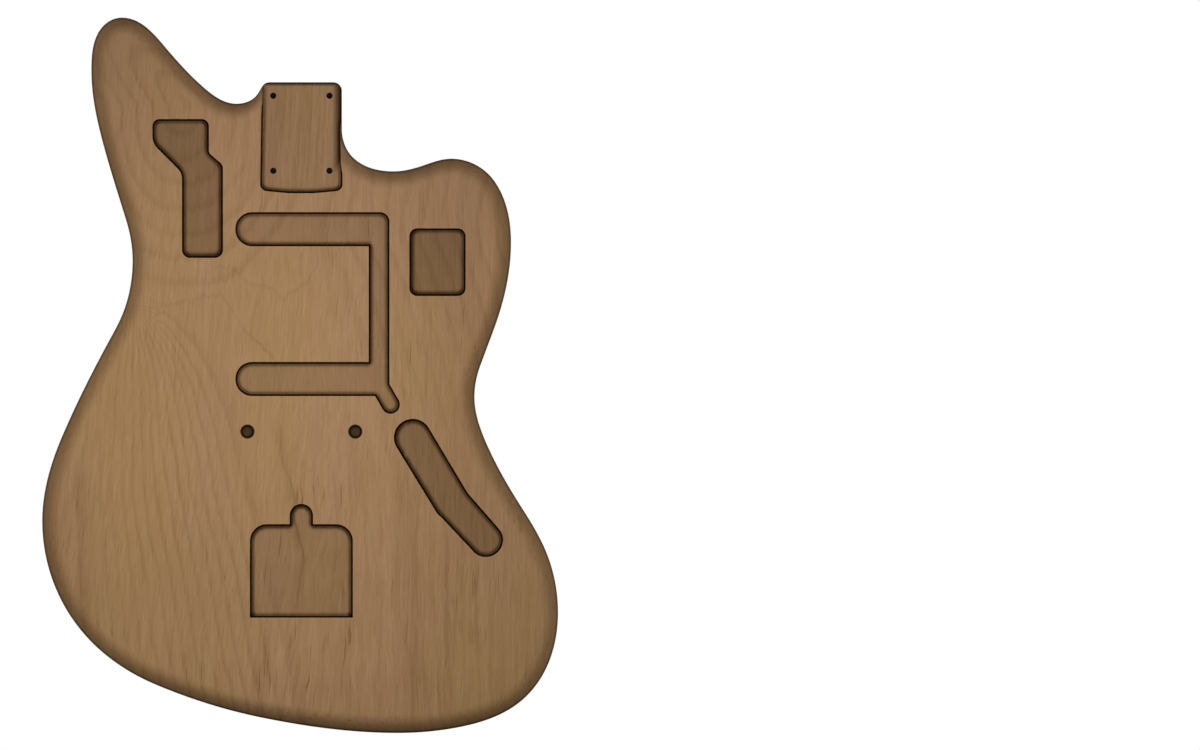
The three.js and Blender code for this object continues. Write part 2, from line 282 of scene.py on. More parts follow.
    def points(self) -> list[OutlinePoint]:
        """Draws the whole outline finely.

        Returns:
            Its points, clockwise, each with the direction into the wood.
        """
        stops = self.stops()
        drawn = [
            row
            for start, end in zip(stops, [*stops[1:], stops[0]])
            for row in self.stretch(start, end)
        ]
        points = []
        for index, (at, round_share, ease_share) in enumerate(drawn):
            before = at - drawn[index - 1][0]
            after = drawn[(index + 1) % len(drawn)][0] - at
            along = before / before.length_squared + after / after.length_squared
            along.normalize()
            points.append(OutlinePoint(at, Vector((along.y, -along.x, 0.0)), round_share, ease_share))
        return points


@dataclass
class Blank:
    """The blank cut to the outline, with both edges rounded over except round the heel."""

    outline: BodyOutline = field(default_factory=BodyOutline)
    roundover_radius: float = 12.7
    least_round_share: float = 0.03
    roundover_steps: int = 10
    heel_ease: float = 0.8
    ease_steps: int = 3
    merge_distance: float = 1e-4

    @staticmethod
    def quarter_turn(steps: int) -> list[Pair]:
        """Rounds off an edge of radius one: how far in and how deep each step of the round lies."""
        angles = [step / steps * math.pi / 2.0 for step in range(steps + 1)]
        return [(1.0 - math.sin(angle), 1.0 - math.cos(angle)) for angle in angles]

    def profile(self, point: OutlinePoint) -> list[Pair]:
        """Works out the section of the edge at one point of the outline.

        Args:
            point: The point of the outline.

        Returns:
            Pairs of how far in from the outline and how deep the section runs, front to back.
        """
        radius = self.roundover_radius * max(point.round_share, self.least_round_share)
        ease = self.heel_ease * point.ease_share
        turns = self.quarter_turn(self.roundover_steps)
        front = [(ease + radius * across, FRONT + radius * deep) for across, deep in turns]
        floor = [
            (ease * across, POCKET_FLOOR + ease * deep)
            for across, deep in self.quarter_turn(self.ease_steps)
        ]
        back = [(radius * across, BACK - radius * deep) for across, deep in reversed(turns)]
        return [*front, *floor, *back]

    def build(self, finish: Material, routed_finish: Material) -> Object:
        """Extrudes the front face ring by ring along the edge's section, to the back face.

        Args:
            finish: The material of the sanded wood.
            routed_finish: The material of the heel's eased edge, which the router leaves; its painted shade
                draws a dark line there.

        Returns:
            The closed blank.
        """
        points = self.outline.points()
        profiles = [self.profile(point) for point in points]
        shape = bmesh.new()
        number = shape.verts.layers.int.new("outline_point")
        corners = []
        for index in range(len(points)):
            corner = shape.verts.new()
            corner[number] = index
            corners.append(corner)
        rim = list(shape.faces.new(corners).edges)
        # The heel's eased strip takes the routed material, whose painted shade draws a dark line round the
        # heel.
        eased = range(self.roundover_steps + 2, self.roundover_steps + 2 + self.ease_steps)
        for ring in range(len(profiles[0])):
            if ring:
                grown = bmesh.ops.extrude_edge_only(shape, edges=rim)["geom"]
                corners = [item for item in grown if isinstance(item, BMVert)]
                rim = [edge for edge in shape.edges if edge.is_boundary]
                for strip in grown:
                    if isinstance(strip, BMFace):
                        strip.material_index = int(ring in eased)
            for corner in corners:
                point = points[corner[number]]
                inset, depth = profiles[corner[number]][ring]
                at = point.at + point.inward * inset
                corner.co = Vector((at.x, depth, at.y))
        bmesh.ops.holes_fill(shape, edges=rim, sides=0)
        bmesh.ops.remove_doubles(shape, verts=shape.verts, dist=self.merge_distance)
        blank = new_object("blank", shape, finish)
        blank.data.materials.append(routed_finish)
        return blank


# Routing and drilling


@dataclass(frozen=True)
class Corner:
    """A corner of a routed pocket, in millimetres, with the radius that the router leaves."""

    x: float
    z: float
    radius: float = 0.0


@dataclass(frozen=True)
class Cutter:
    """A router bit or a drill, with the material of the faces it cuts, which carries painted shade.

    Sunk from the front face it leaves an eased rim, a slight draft and a rounded foot. A round
    end takes the full round share of half its width, so that its two corners don't quite meet.
    """

    finish: Material
    rim_ease: float = 0.9
    draft: float = 0.3
    foot_radius: float = 0.9
    turn_steps: int = 3
    arc_step: float = 7.5
    least_arc_steps: int = 3
    least_edge: float = 0.02
    full_round: float = 0.985
    overrun: float = 2.0
    bore_sides: int = 40
    drill_sides: int = 32

    def section(self, depth: float) -> list[Pair]:
        """Works out a wall's section from the rim to the floor.

        Args:
            depth: From the front face to the floor.

        Returns:
            Steps of how far the wall moves in and how much deeper it goes.
        """
        turns = [step / self.turn_steps * math.pi / 2.0 for step in range(1, self.turn_steps + 1)]
        arc = [(math.sin(turn), 1.0 - math.cos(turn)) for turn in turns]
        wall, foot_top = self.rim_ease + self.draft, depth - self.foot_radius
        rim = [(self.rim_ease * rise, self.rim_ease * rest) for rise, rest in arc]
        foot = [(wall + self.foot_radius * rest, foot_top + self.foot_radius * rise) for rise, rest in arc]
        places = [(0.0, 0.0), *rim, (wall, foot_top), *foot]
        return [(b[0] - a[0], b[1] - a[1]) for a, b in zip(places, places[1:])]

    def outline_face(self, shape: BMesh, corners: list[Corner]) -> None:
        """Draws a pocket's outline in the front face, with its corners rounded by bevels.

        Args:
            shape: The empty shape that takes the face.
            corners: The pocket's corners in order.
        """
        verts = [shape.verts.new((corner.x, FRONT, corner.z)) for corner in corners]
        shape.faces.new(verts)
        for index, (vert, corner) in enumerate(zip(verts, corners)):
            if not corner.radius:
                continue
            at = Vector((corner.x, corner.z, 0.0))
            before, after = corners[index - 1], corners[(index + 1) % len(corners)]
            sides = [Vector((side.x, side.z, 0.0)) - at for side in (before, after)]
            angle = sides[0].angle(sides[1])
            bmesh.ops.bevel(
                shape,
                geom=[vert],
                affect="VERTICES",
                offset_type="OFFSET",
                offset=corner.radius / math.tan(angle / 2.0),
                segments=max(self.least_arc_steps, round(math.degrees(math.pi - angle) / self.arc_step)),
                profile=0.5,
                clamp_overlap=False,
                material=-1,
            )
        bmesh.ops.remove_doubles(shape, verts=shape.verts, dist=self.least_edge)

    def sunk(self, name: str, shape: BMesh, depth: float) -> Object:
        """Sinks an outline in the front face to a floor.

        Args:
            name: The solid's name.
            shape: The shape, which holds the outline's face alone.
            depth: From the front face to the floor.

        Returns:
            The solid to cut away, from in front of the face down to the floor.
        """
        face = next(iter(shape.faces))
        face.normal_update()
        if face.normal.y < 0.0:
            face.normal_flip()
        for inset, deeper in self.section(depth):
            bmesh.ops.inset_region(
                shape, faces=[face], thickness=inset, use_boundary=True, use_even_offset=True
            )
            bmesh.ops.translate(shape, verts=face.verts, vec=(0.0, deeper, 0.0))
        rim = [edge for edge in shape.edges if edge.is_boundary]
        grown = bmesh.ops.extrude_edge_only(shape, edges=rim)["geom"]
        top = [item for item in grown if isinstance(item, BMVert)]
        bmesh.ops.translate(shape, verts=top, vec=(0.0, -self.overrun, 0.0))
        bmesh.ops.holes_fill(shape, edges=[edge for edge in shape.edges if edge.is_boundary], sides=0)
        return new_object(name, shape, self.finish)

    def pocket(self, name: str, corners: list[Corner], depth: float) -> Object:
        """Cuts a pocket with straight sides and rounded corners.

        Args:
            name: The solid's name.
            corners: The pocket's corners in order.
            depth: From the front face to the floor.

        Returns:
            The solid to cut away.
        """
        shape = bmesh.new()
        self.outline_face(shape, corners)
        return self.sunk(name, shape, depth)

    def capsule(self, name: str, start: Corner, end: Corner, depth: float) -> Object:
        """Cuts a round-ended pocket whose width may change along it.

        Args:
            name: The solid's name.
            start: The middle of one end, with that end's radius.
            end: The middle of the other end, with its radius.
            depth: From the front face to the floor.

        Returns:
            The solid to cut away.
        """
        along = Vector((end.x - start.x, end.z - start.z, 0.0)).normalized()
        side = Vector((-along.y, along.x, 0.0))
        corners = []
        for middle, forward in ((start, -1.0), (end, 1.0)):
            for turn in (forward, -forward):
                at = (along * forward + side * turn) * middle.radius
                corners.append(Corner(middle.x + at.x, middle.z + at.y, middle.radius * self.full_round))
        return self.pocket(name, corners, depth)

    def bore(self, name: str, middle: Corner, depth: float) -> Object:
        """Cuts a round hole straight into the front face.

        Args:
            name: The solid's name.
            middle: The hole's middle, with its radius.
            depth: From the front face to the floor.

        Returns:
            The solid to cut away.
        """
        shape = bmesh.new()
        bmesh.ops.create_circle(
            shape,
            cap_ends=True,
            radius=middle.radius,
            segments=self.bore_sides,
            matrix=Matrix.Translation((middle.x, FRONT, middle.z)) @ Matrix.Rotation(math.pi / 2.0, 4, "X"),
        )
        return self.sunk(name, shape, depth)

    def hole(self, name: str, start: Triple, end: Triple, diameter: float) -> Object:
        """Drills a hole from one point to another.

        Args:
            name: The solid's name.
            start: The middle of one end, in millimetres.
            end: The middle of the other end.
            diameter: The drill's diameter.

        Returns:
            The solid to cut away.
        """
        shape = bmesh.new()
        first, last = Vector(start), Vector(end)
        along = last - first
        turned = along.to_track_quat("Z", "X").to_matrix().to_4x4()
        bmesh.ops.create_cone(
            shape,
            cap_ends=True,
            segments=self.drill_sides,
            radius1=diameter / 2.0,
            radius2=diameter / 2.0,
            depth=along.length,
            matrix=Matrix.Translation((first + last) / 2.0) @ turned,
        )
        return new_object(name, shape, self.finish)


@dataclass(frozen=True)
class Shop:
    """What the blank is cut with: its outline, the router and the drill."""

    outline: BodyOutline
    router: Cutter
    drill: Cutter


@dataclass
class NeckJoint:
    """The neck pocket, open over the heel, and the four holes of the neck screws."""

    depth: float = 16.0
    end_width: float = 56.0
    mouth_width: float = 53.6
    end_distance: float = 41.1
    end_bow: float = 150.0
    corner: float = 4.8
    screws_across: float = 38.1
    screws_along: float = 50.8
    screw_hole: float = 4.2
    screw_shade_web: float = 0.6

    def corners(self, shop: Shop) -> list[Corner]:
        """Lays out the pocket, whose end is an arc between its two end corners.

        Args:
            shop: The outline and the router, which runs out past the heel.

        Returns:
            The pocket's corners in order.
        """
        half = self.end_width / 2.0
        reach = half - self.corner
        lean = math.asin(reach / self.end_bow)
        bow_end = self.end_bow * (1.0 - math.cos(lean)) - self.end_distance
        corner_height = bow_end + self.corner * math.tan(lean)
        side = shop.outline.heel_side
        mouth = shop.outline.heel_height + shop.router.overrun
        return [
            Corner(-self.mouth_width / 2.0, mouth),
            Corner(side + shop.router.overrun, mouth),
            Corner(side, 0.0),
            Corner(half, corner_height, self.corner),
            Corner(0.0, bow_end - reach * math.tan(lean), self.end_bow),
            Corner(-half, corner_height, self.corner),
        ]

    def cut(self, shop: Shop) -> list[Object]:
        """Cuts the pocket and the screw holes, which a thin web closes halfway, painted near black as their
        shade.

        Args:
            shop: The outline and the tools.

        Returns:
            The solids to cut away.
        """
        drill = shop.drill
        solids = [shop.router.pocket("neck_pocket_cutter", self.corners(shop), self.depth)]
        # The web is a sheet in each hole that the drilled material paints near black, as painted shade.
        middle, web = (POCKET_FLOOR + BACK) / 2.0, self.screw_shade_web / 2.0
        ends = ((-drill.overrun, middle - web), (middle + web, BACK + drill.overrun))
        for across, along, (start, end) in product((-0.5, 0.5), (-0.5, 0.5), ends):
            x, z = across * self.screws_across, along * self.screws_along
            name = f"neck_screw_cutter_{len(solids)}"
            solids.append(drill.hole(name, (x, start, z), (x, end, z), self.screw_hole))
        return solids


@dataclass
class PickupRouting:
    """Both pickup slots, the wire channel between them and its tail towards the controls."""

    depth: float = 17.0
    slot_height: float = 23.1
    bass_reach: float = 44.7
    neck_pickup: float = -65.0
    bridge_pickup: float = -166.4
    treble_reach: float = 59.6
    channel_width: float = 14.0
    channel_corner: float = 6.4
    tail_width: float = 12.5
    tail_turn: float = -169.8
    tail_reach: float = 12.4
    tail_lean: float = 30.0

    def tail_line(self) -> tuple[Vector, Vector]:
        """Finds the tail's middle line, which leaves the channel's treble side.

        Returns:
            Its two ends as (x, z, 0).
        """
        turn = Vector((self.treble_reach, self.tail_turn, 0.0))
        root = heading_vector(180.0 + self.tail_lean) * (self.tail_width / 2.0) + turn
        return root, heading_vector(270.0 + self.tail_lean) * self.tail_reach + root

    def cut(self, shop: Shop) -> list[Object]:
        """Cuts the slots with their channel, and the tail.

        Args:
            shop: The outline and the tools.

        Returns:
            The solids to cut away.
        """
        end = self.slot_height / 2.0
        neck_top, neck_bottom = self.neck_pickup + end, self.neck_pickup - end
        bridge_top, bridge_bottom = self.bridge_pickup + end, self.bridge_pickup - end
        channel = self.treble_reach - self.channel_width
        root, tip = self.tail_line()
        round_end = end * shop.router.full_round
        corners = [
            Corner(-self.bass_reach, neck_top, round_end),
            Corner(self.treble_reach, neck_top, self.channel_corner),
            Corner(self.treble_reach, self.tail_turn),
            Corner(root.x, bridge_bottom),
            Corner(-self.bass_reach, bridge_bottom, round_end),
            Corner(-self.bass_reach, bridge_top, round_end),
            Corner(channel, bridge_top),
            Corner(channel, neck_bottom),
            Corner(-self.bass_reach, neck_bottom, round_end),
        ]
        tail = [Corner(at.x, at.y, self.tail_width / 2.0) for at in (root, tip)]
        return [
            shop.router.pocket("pickup_slot_cutter", corners, self.depth),
            shop.router.capsule("channel_tail_cutter", *tail, self.depth),
        ]


@dataclass
class ControlRouting:
    """The rhythm cavity, the switch cavity and the volume and tone cavity.

    The rhythm cavity's rows are its corners and their radii as shares of its length, from its
    root. The control shares are shares of the body's length and width, as in its outline.
    """

    depth: float = 36.0
    rhythm_length: float = 94.0
    rhythm_root: Pair = (-53.1, -84.4)
    rhythm_corners: tuple[Triple, ...] = (
        (-0.508, 1.0, 0.052),
        (-0.101, 1.0, 0.052),
        (-0.101, 0.755, 0.037),
        (0.0, 0.669, 0.055),
        (0.0, 0.0, 0.058),
        (-0.295, 0.0, 0.058),
        (-0.295, 0.612, 0.093),
        (-0.508, 0.825, 0.113),
    )
    switch_middle: Pair = (92.15, -87.3)
    switch_width: float = 38.1
    switch_height: float = 45.8
    switch_corner: float = 5.4
    control_shares: tuple[Triple, ...] = (
        (0.2159, 0.5873, 0.0366),
        (0.2912, 0.6771, 0.0355),
        (0.3579, 0.7302, 0.0326),
    )

    def control_rounds(self, outline: BodyOutline) -> list[Corner]:
        """Places the two ends and the bend of the volume and tone cavity.

        Args:
            outline: The body's outline, which the shares refer to.

        Returns:
            Their middles, each with half the cavity's width.
        """
        return [
            Corner(*outline.place(across, down), half * outline.width)
            for across, down, half in self.control_shares
        ]

    def cut(self, shop: Shop) -> list[Object]:
        """Cuts the three cavities.

        Args:
            shop: The outline and the tools.

        Returns:
            The solids to cut away.
        """
        (root_x, root_z), size = self.rhythm_root, self.rhythm_length
        rhythm = [
            Corner(root_x + across * size, root_z + up * size, radius * size)
            for across, up, radius in self.rhythm_corners
        ]
        x, z = self.switch_middle
        half_width, half_height = self.switch_width / 2.0, self.switch_height / 2.0
        switch = [
            Corner(x + side * half_width, z + end * half_height, self.switch_corner)
            for side, end in ((-1, 1), (1, 1), (1, -1), (-1, -1))
        ]
        top, bend, bottom = self.control_rounds(shop.outline)
        router = shop.router
        return [
            router.pocket("rhythm_cavity_cutter", rhythm, self.depth),
            router.pocket("switch_cavity_cutter", switch, self.depth),
            router.capsule("control_cavity_cutter_upper", top, bend, self.depth),
            router.capsule("control_cavity_cutter_lower", bend, bottom, self.depth),
        ]


@dataclass
class BridgeRouting:
    """The two bridge post holes and the tremolo's cavity with its tongue."""

    bridge: float = -202.0
    post_spacing: float = 73.0
    post_hole: float = 9.8
    post_depth: float = 28.0
    tremolo_depth: float = 29.0
    tremolo_width: float = 69.7
    tremolo_top: float = -264.7
    tremolo_height: float = 63.3
    tremolo_corner: float = 11.5
    tongue_width: float = 15.8
    tongue_length: float = 13.7

    def cut(self, shop: Shop) -> list[Object]:
        """Cuts the post holes and the tremolo's cavity.

        Args:
            shop: The outline and the tools.

        Returns:
            The solids to cut away.
        """
        half, tongue = self.tremolo_width / 2.0, self.tongue_width / 2.0
        foot = self.tremolo_top - self.tremolo_height
        box = [
            Corner(-half, self.tremolo_top, self.tremolo_corner),
            Corner(half, self.tremolo_top, self.tremolo_corner),
            Corner(half, foot),
            Corner(-half, foot),
        ]
        tongue_ends = [
            Corner(0.0, self.tremolo_top + self.tongue_length - tongue, tongue),
            Corner(0.0, self.tremolo_top - self.tongue_width, tongue),
        ]
        solids = []
        for name, side in (("bass", -1), ("treble", 1)):
            post = Corner(side * self.post_spacing / 2.0, self.bridge, self.post_hole / 2.0)
            solids.append(shop.drill.bore(f"bridge_post_cutter_{name}", post, self.post_depth))
        solids.append(shop.router.pocket("tremolo_cavity_cutter", box, self.tremolo_depth))
        solids.append(shop.router.capsule("tremolo_tongue_cutter", *tongue_ends, self.tremolo_depth))
        return solids


@dataclass
class WireHoles:
    """The holes drilled between the cavities for the wires, hidden in the wood."""

    diameter: float = 6.4
    ground_diameter: float = 3.2
    depth: float = 10.0

    def cut(
        self, shop: Shop, pickups: PickupRouting, controls: ControlRouting, bridge: BridgeRouting
    ) -> list[Object]:
        """Drills the three wire holes and the ground wire's hole.

        Args:
            shop: The outline and the tools.
            pickups: The pickup slots.
            controls: The control cavities.
            bridge: The bridge posts.

        Returns:
            The solids to cut away.
        """
        y, width = FRONT + self.depth, self.diameter
        root_x, _ = controls.rhythm_root
        switch_x, switch_z = controls.switch_middle
        neck_z, post = pickups.neck_pickup, bridge.post_spacing / 2.0
        control = controls.control_rounds(shop.outline)[0]
        _, tail = pickups.tail_line()
        lines = {
            "rhythm_wire_cutter": ((root_x - width, y, neck_z), (width - pickups.bass_reach, y, neck_z)),
            "switch_wire_cutter": ((pickups.treble_reach - width, y, switch_z), (switch_x, y, switch_z)),
            "control_wire_cutter": ((tail.x, y, tail.y), (control.x, y, control.z)),
        }
        ground = ((post, y, pickups.bridge_pickup), (post, y, bridge.bridge))
        return [
            *(shop.drill.hole(name, *ends, width) for name, ends in lines.items()),
            shop.drill.hole("ground_wire_cutter", *ground, self.ground_diameter),
        ]


# Finishes

# The largest power that a soft bend works out, and how far a curve drawn through given points reaches.
LARGEST_EXPONENT = 20.0
CURVE_SPAN = 20.0


@dataclass(frozen=True)
class Number:
    """A number that a material works out at each point, written as plain arithmetic."""

    tree: NodeTree
    socket: NodeSocket

    def fed(self, operation: str, *values: Self | float) -> Self:
        """Adds a Math node.

        Args:
            operation: The node's operation.
            *values: Its inputs, numbers of the tree or plain ones.

        Returns:
            The node's result.
        """
        node = self.tree.nodes.new("ShaderNodeMath")
        node.operation = operation
        for socket, value in zip(node.inputs, values):
            if isinstance(value, Number):
                self.tree.links.new(value.socket, socket)
            else:
                socket.default_value = value
        return Number(self.tree, node.outputs[0])

    def __add__(self, other: Self | float) -> Self:
        """Adds."""
        return self.fed("ADD", self, other)

    __radd__ = __add__

    def __sub__(self, other: Self | float) -> Self:
        """Subtracts."""
        return self.fed("SUBTRACT", self, other)

    def __rsub__(self, other: float) -> Self:
        """Subtracts this from a plain number."""
        return self.fed("SUBTRACT", other, self)

    def __mul__(self, other: Self | float) -> Self:
        """Multiplies."""
        return self.fed("MULTIPLY", self, other)

    __rmul__ = __mul__

    def __truediv__(self, other: Self | float) -> Self:
        """Divides."""
        return self.fed("DIVIDE", self, other)

    def __rtruediv__(self, other: float) -> Self:
        """Divides a plain number by this."""
        return self.fed("DIVIDE", other, self)

    def __pow__(self, other: float) -> Self:
        """Raises to a power."""
        return self.fed("POWER", self, other)

    def __abs__(self) -> Self:
        """Drops the sign."""
        return self.fed("ABSOLUTE", self)

    def least(self, floor: Self | float) -> Self:
        """Keeps the number from falling below a floor."""
        return self.fed("MAXIMUM", self, floor)

    def most(self, ceiling: float) -> Self:
        """Keeps the number from rising above a ceiling."""
        return self.fed("MINIMUM", self, ceiling)

    def softly_most(self, ceiling: float, width: float) -> Self:
        """Levels off towards a ceiling, from the given width below it."""
        return self.fed("SMOOTH_MIN", self, ceiling, width)

    def softly_above(self, start: float, sharpness: float) -> Self:
        """Stays at 0 below a start, and rises one for one above it, with a soft bend between.

        Args:
            start: Where it starts to rise.
            sharpness: How sharp the bend is.

        Returns:
            The rise.
        """
        scaled = ((self - start) * sharpness).most(LARGEST_EXPONENT)
        power = self.fed("EXPONENT", scaled) + 1.0
        return self.fed("LOGARITHM", power, math.e) / sharpness

    def past_whole(self) -> Self:
        """Tells how far the number lies past the nearest whole one, from -0.5 to 0.5."""
        return self.fed("FRACT", self + 0.5) - 0.5

    def between(self, low: float, high: float) -> Self:
        """Rises smoothly from 0 to 1.

        Args:
            low: The value below which the result is 0.
            high: The value above which it is 1.

        Returns:
            The smooth rise.
        """
        node = self.tree.nodes.new("ShaderNodeMapRange")
        node.interpolation_type = "SMOOTHSTEP"
        node.inputs["From Min"].default_value = low
        node.inputs["From Max"].default_value = high
        self.tree.links.new(self.socket, node.inputs["Value"])
        return Number(self.tree, node.outputs["Result"])

    def line(self, width: float) -> Self:
        """Gives 1 where the number is 0, and falls on both sides, to a half at the width."""
        off = self / width
        return 1.0 / (off * off * off * off + 1.0)

    def through(self, places: tuple[Pair, ...]) -> Self:
        """Follows a curve drawn through given points.

        Args:
            places: Points of the curve in order, each as (number, result), from 0 to CURVE_SPAN.

        Returns:
            The curve's height.
        """
        node = self.tree.nodes.new("ShaderNodeFloatCurve")
        points = node.mapping.curves[0].points
        for _ in range(len(places) - len(points)):
            points.new(0.5, 0.5)
        for point, (number, result) in zip(points, places):
            point.location = (number / CURVE_SPAN, result / CURVE_SPAN)
            point.handle_type = "AUTO"
        node.mapping.update()
        self.tree.links.new((self / CURVE_SPAN).socket, node.inputs["Value"])
        return Number(self.tree, node.outputs["Value"]) * CURVE_SPAN


@dataclass(frozen=True)
class Grain:
    """Where a point lies in the wood, in inches: across, deep and down from a corner."""

    across: Number
    deep: Number
    down: Number

    def moved(self, across: Number) -> Self:
        """Moves the place across the grain."""
        return Grain(self.across + across, self.deep, self.down)


@dataclass(frozen=True)
class Noise:
    """A noise drawn out along the grain, with its waves to the inch in each direction.

    The detail is how many finer layers it has, the roughness how strong they are, and the shift
    where it is read from, so that each noise differs.
    """

    across: float
    deep: float
    down: float
    detail: float
    shift: float
    roughness: float = 0.5

    def at(self, grain: Grain) -> Number:
        """Reads the noise.

        Args:
            grain: The place in the wood.

        Returns:
            The noise, about 0 and mostly between -0.5 and 0.5.
        """
        tree = grain.across.tree
        join = tree.nodes.new("ShaderNodeCombineXYZ")
        places, waves = (grain.across, grain.deep, grain.down), (self.across, self.deep, self.down)
        for socket, place, wave in zip(join.inputs, places, waves):
            tree.links.new((place * wave + self.shift).socket, socket)
        node = tree.nodes.new("ShaderNodeTexNoise")
        node.inputs["Scale"].default_value = 1.0
        node.inputs["Detail"].default_value = self.detail
        node.inputs["Roughness"].default_value = self.roughness
        tree.links.new(join.outputs["Vector"], node.inputs["Vector"])
        return Number(tree, node.outputs["Fac"]) - 0.5


@dataclass(frozen=True)
class Zone:
    """A soft-edged part of the wood: the spans in inches over which it begins and ends."""

    left: Pair | None = None
    right: Pair | None = None
    top: Pair | None = None
    foot: Pair | None = None

    def at(self, grain: Grain) -> Number:
        """Tells how far a point lies in the zone.

        Args:
            grain: The place in the wood.

        Returns:
            A share from 0 outside the zone to 1 inside it.
        """
        starts = ((grain.across, self.left), (grain.down, self.top))
        ends = ((grain.across, self.right), (grain.down, self.foot))
        inside = [place.between(*span) for place, span in starts if span]
        outside = [place.between(*span) for place, span in ends if span]
        return math.prod([*inside, *(1.0 - share for share in outside)])


@dataclass(frozen=True)
class Streak:
    """A broad dark streak that runs down the grain, each end as (across, down) in inches."""

    top: Pair
    foot: Pair
    width: float
    depth: float
    fade: float = 0.7

    def drawn(self, grain: Grain) -> Number:
        """Works out how dark the streak makes a point.

        Args:
            grain: The place in the wood.

        Returns:
            The darkness, from 0 to the streak's depth.
        """
        (top_across, top), (foot_across, foot) = self.top, self.foot
        off = grain.across - (grain.down - top) * ((foot_across - top_across) / (foot - top)) - top_across
        zone = Zone(top=(top - self.fade, top + self.fade), foot=(foot - self.fade, foot + self.fade))
        return off.line(self.width) * zone.at(grain) * self.depth


@dataclass(frozen=True)
class DrawnLine:
    """A strong line drawn through given points in inches, within a zone.

    Each point is (across, down) for a line that runs across, and else (down, across).
    """

    points: tuple[Pair, ...]
    width: float
    depth: float
    zone: Zone
    runs_across: bool = False
    offset: float = 0.0

    def drawn(self, grain: Grain) -> Number:
        """Works out how dark the line makes a point.

        Args:
            grain: The place in the wood, already warped.

        Returns:
            The darkness, from 0 to the line's depth.
        """
        along, aside = grain.down, grain.across
        if self.runs_across:
            along, aside = aside, along
        off = aside - along.through(self.points) + self.offset
        return off.line(self.width) * self.zone.at(grain) * self.depth


# The paths of the strong lines: one wanders down the middle, two run across above it.
WANDER = (
    (8.7, 6.3), (9.28, 6.97), (9.8, 7.35), (11.0, 7.45), (12.2, 7.5), (13.0, 7.78), (14.0, 7.88),
    (14.5, 8.02), (14.85, 8.13), (15.3, 8.06), (16.2, 7.95), (17.4, 7.8), (18.2, 7.6), (20.0, 7.4),
)
SHELF = (
    (3.5, 7.6), (3.84, 7.90), (4.13, 8.09), (4.64, 8.11), (4.88, 8.03), (5.05, 8.09), (5.42, 7.93),
    (5.89, 7.89), (6.05, 8.15), (6.30, 8.57), (6.55, 8.94), (6.97, 9.28), (7.35, 9.7),
)
HOLLOW = (
    (4.3, 7.5), (5.6, 7.2), (6.13, 7.15), (6.55, 7.52), (7.13, 7.65), (7.30, 7.80), (7.47, 7.97),
    (7.62, 7.90), (7.80, 7.76), (8.13, 7.49), (8.38, 7.1), (8.6, 6.5),
)
# Where the wandering line is at its darkest.
CORE = Zone(top=(12.4, 14.3), foot=(15.0, 16.6))


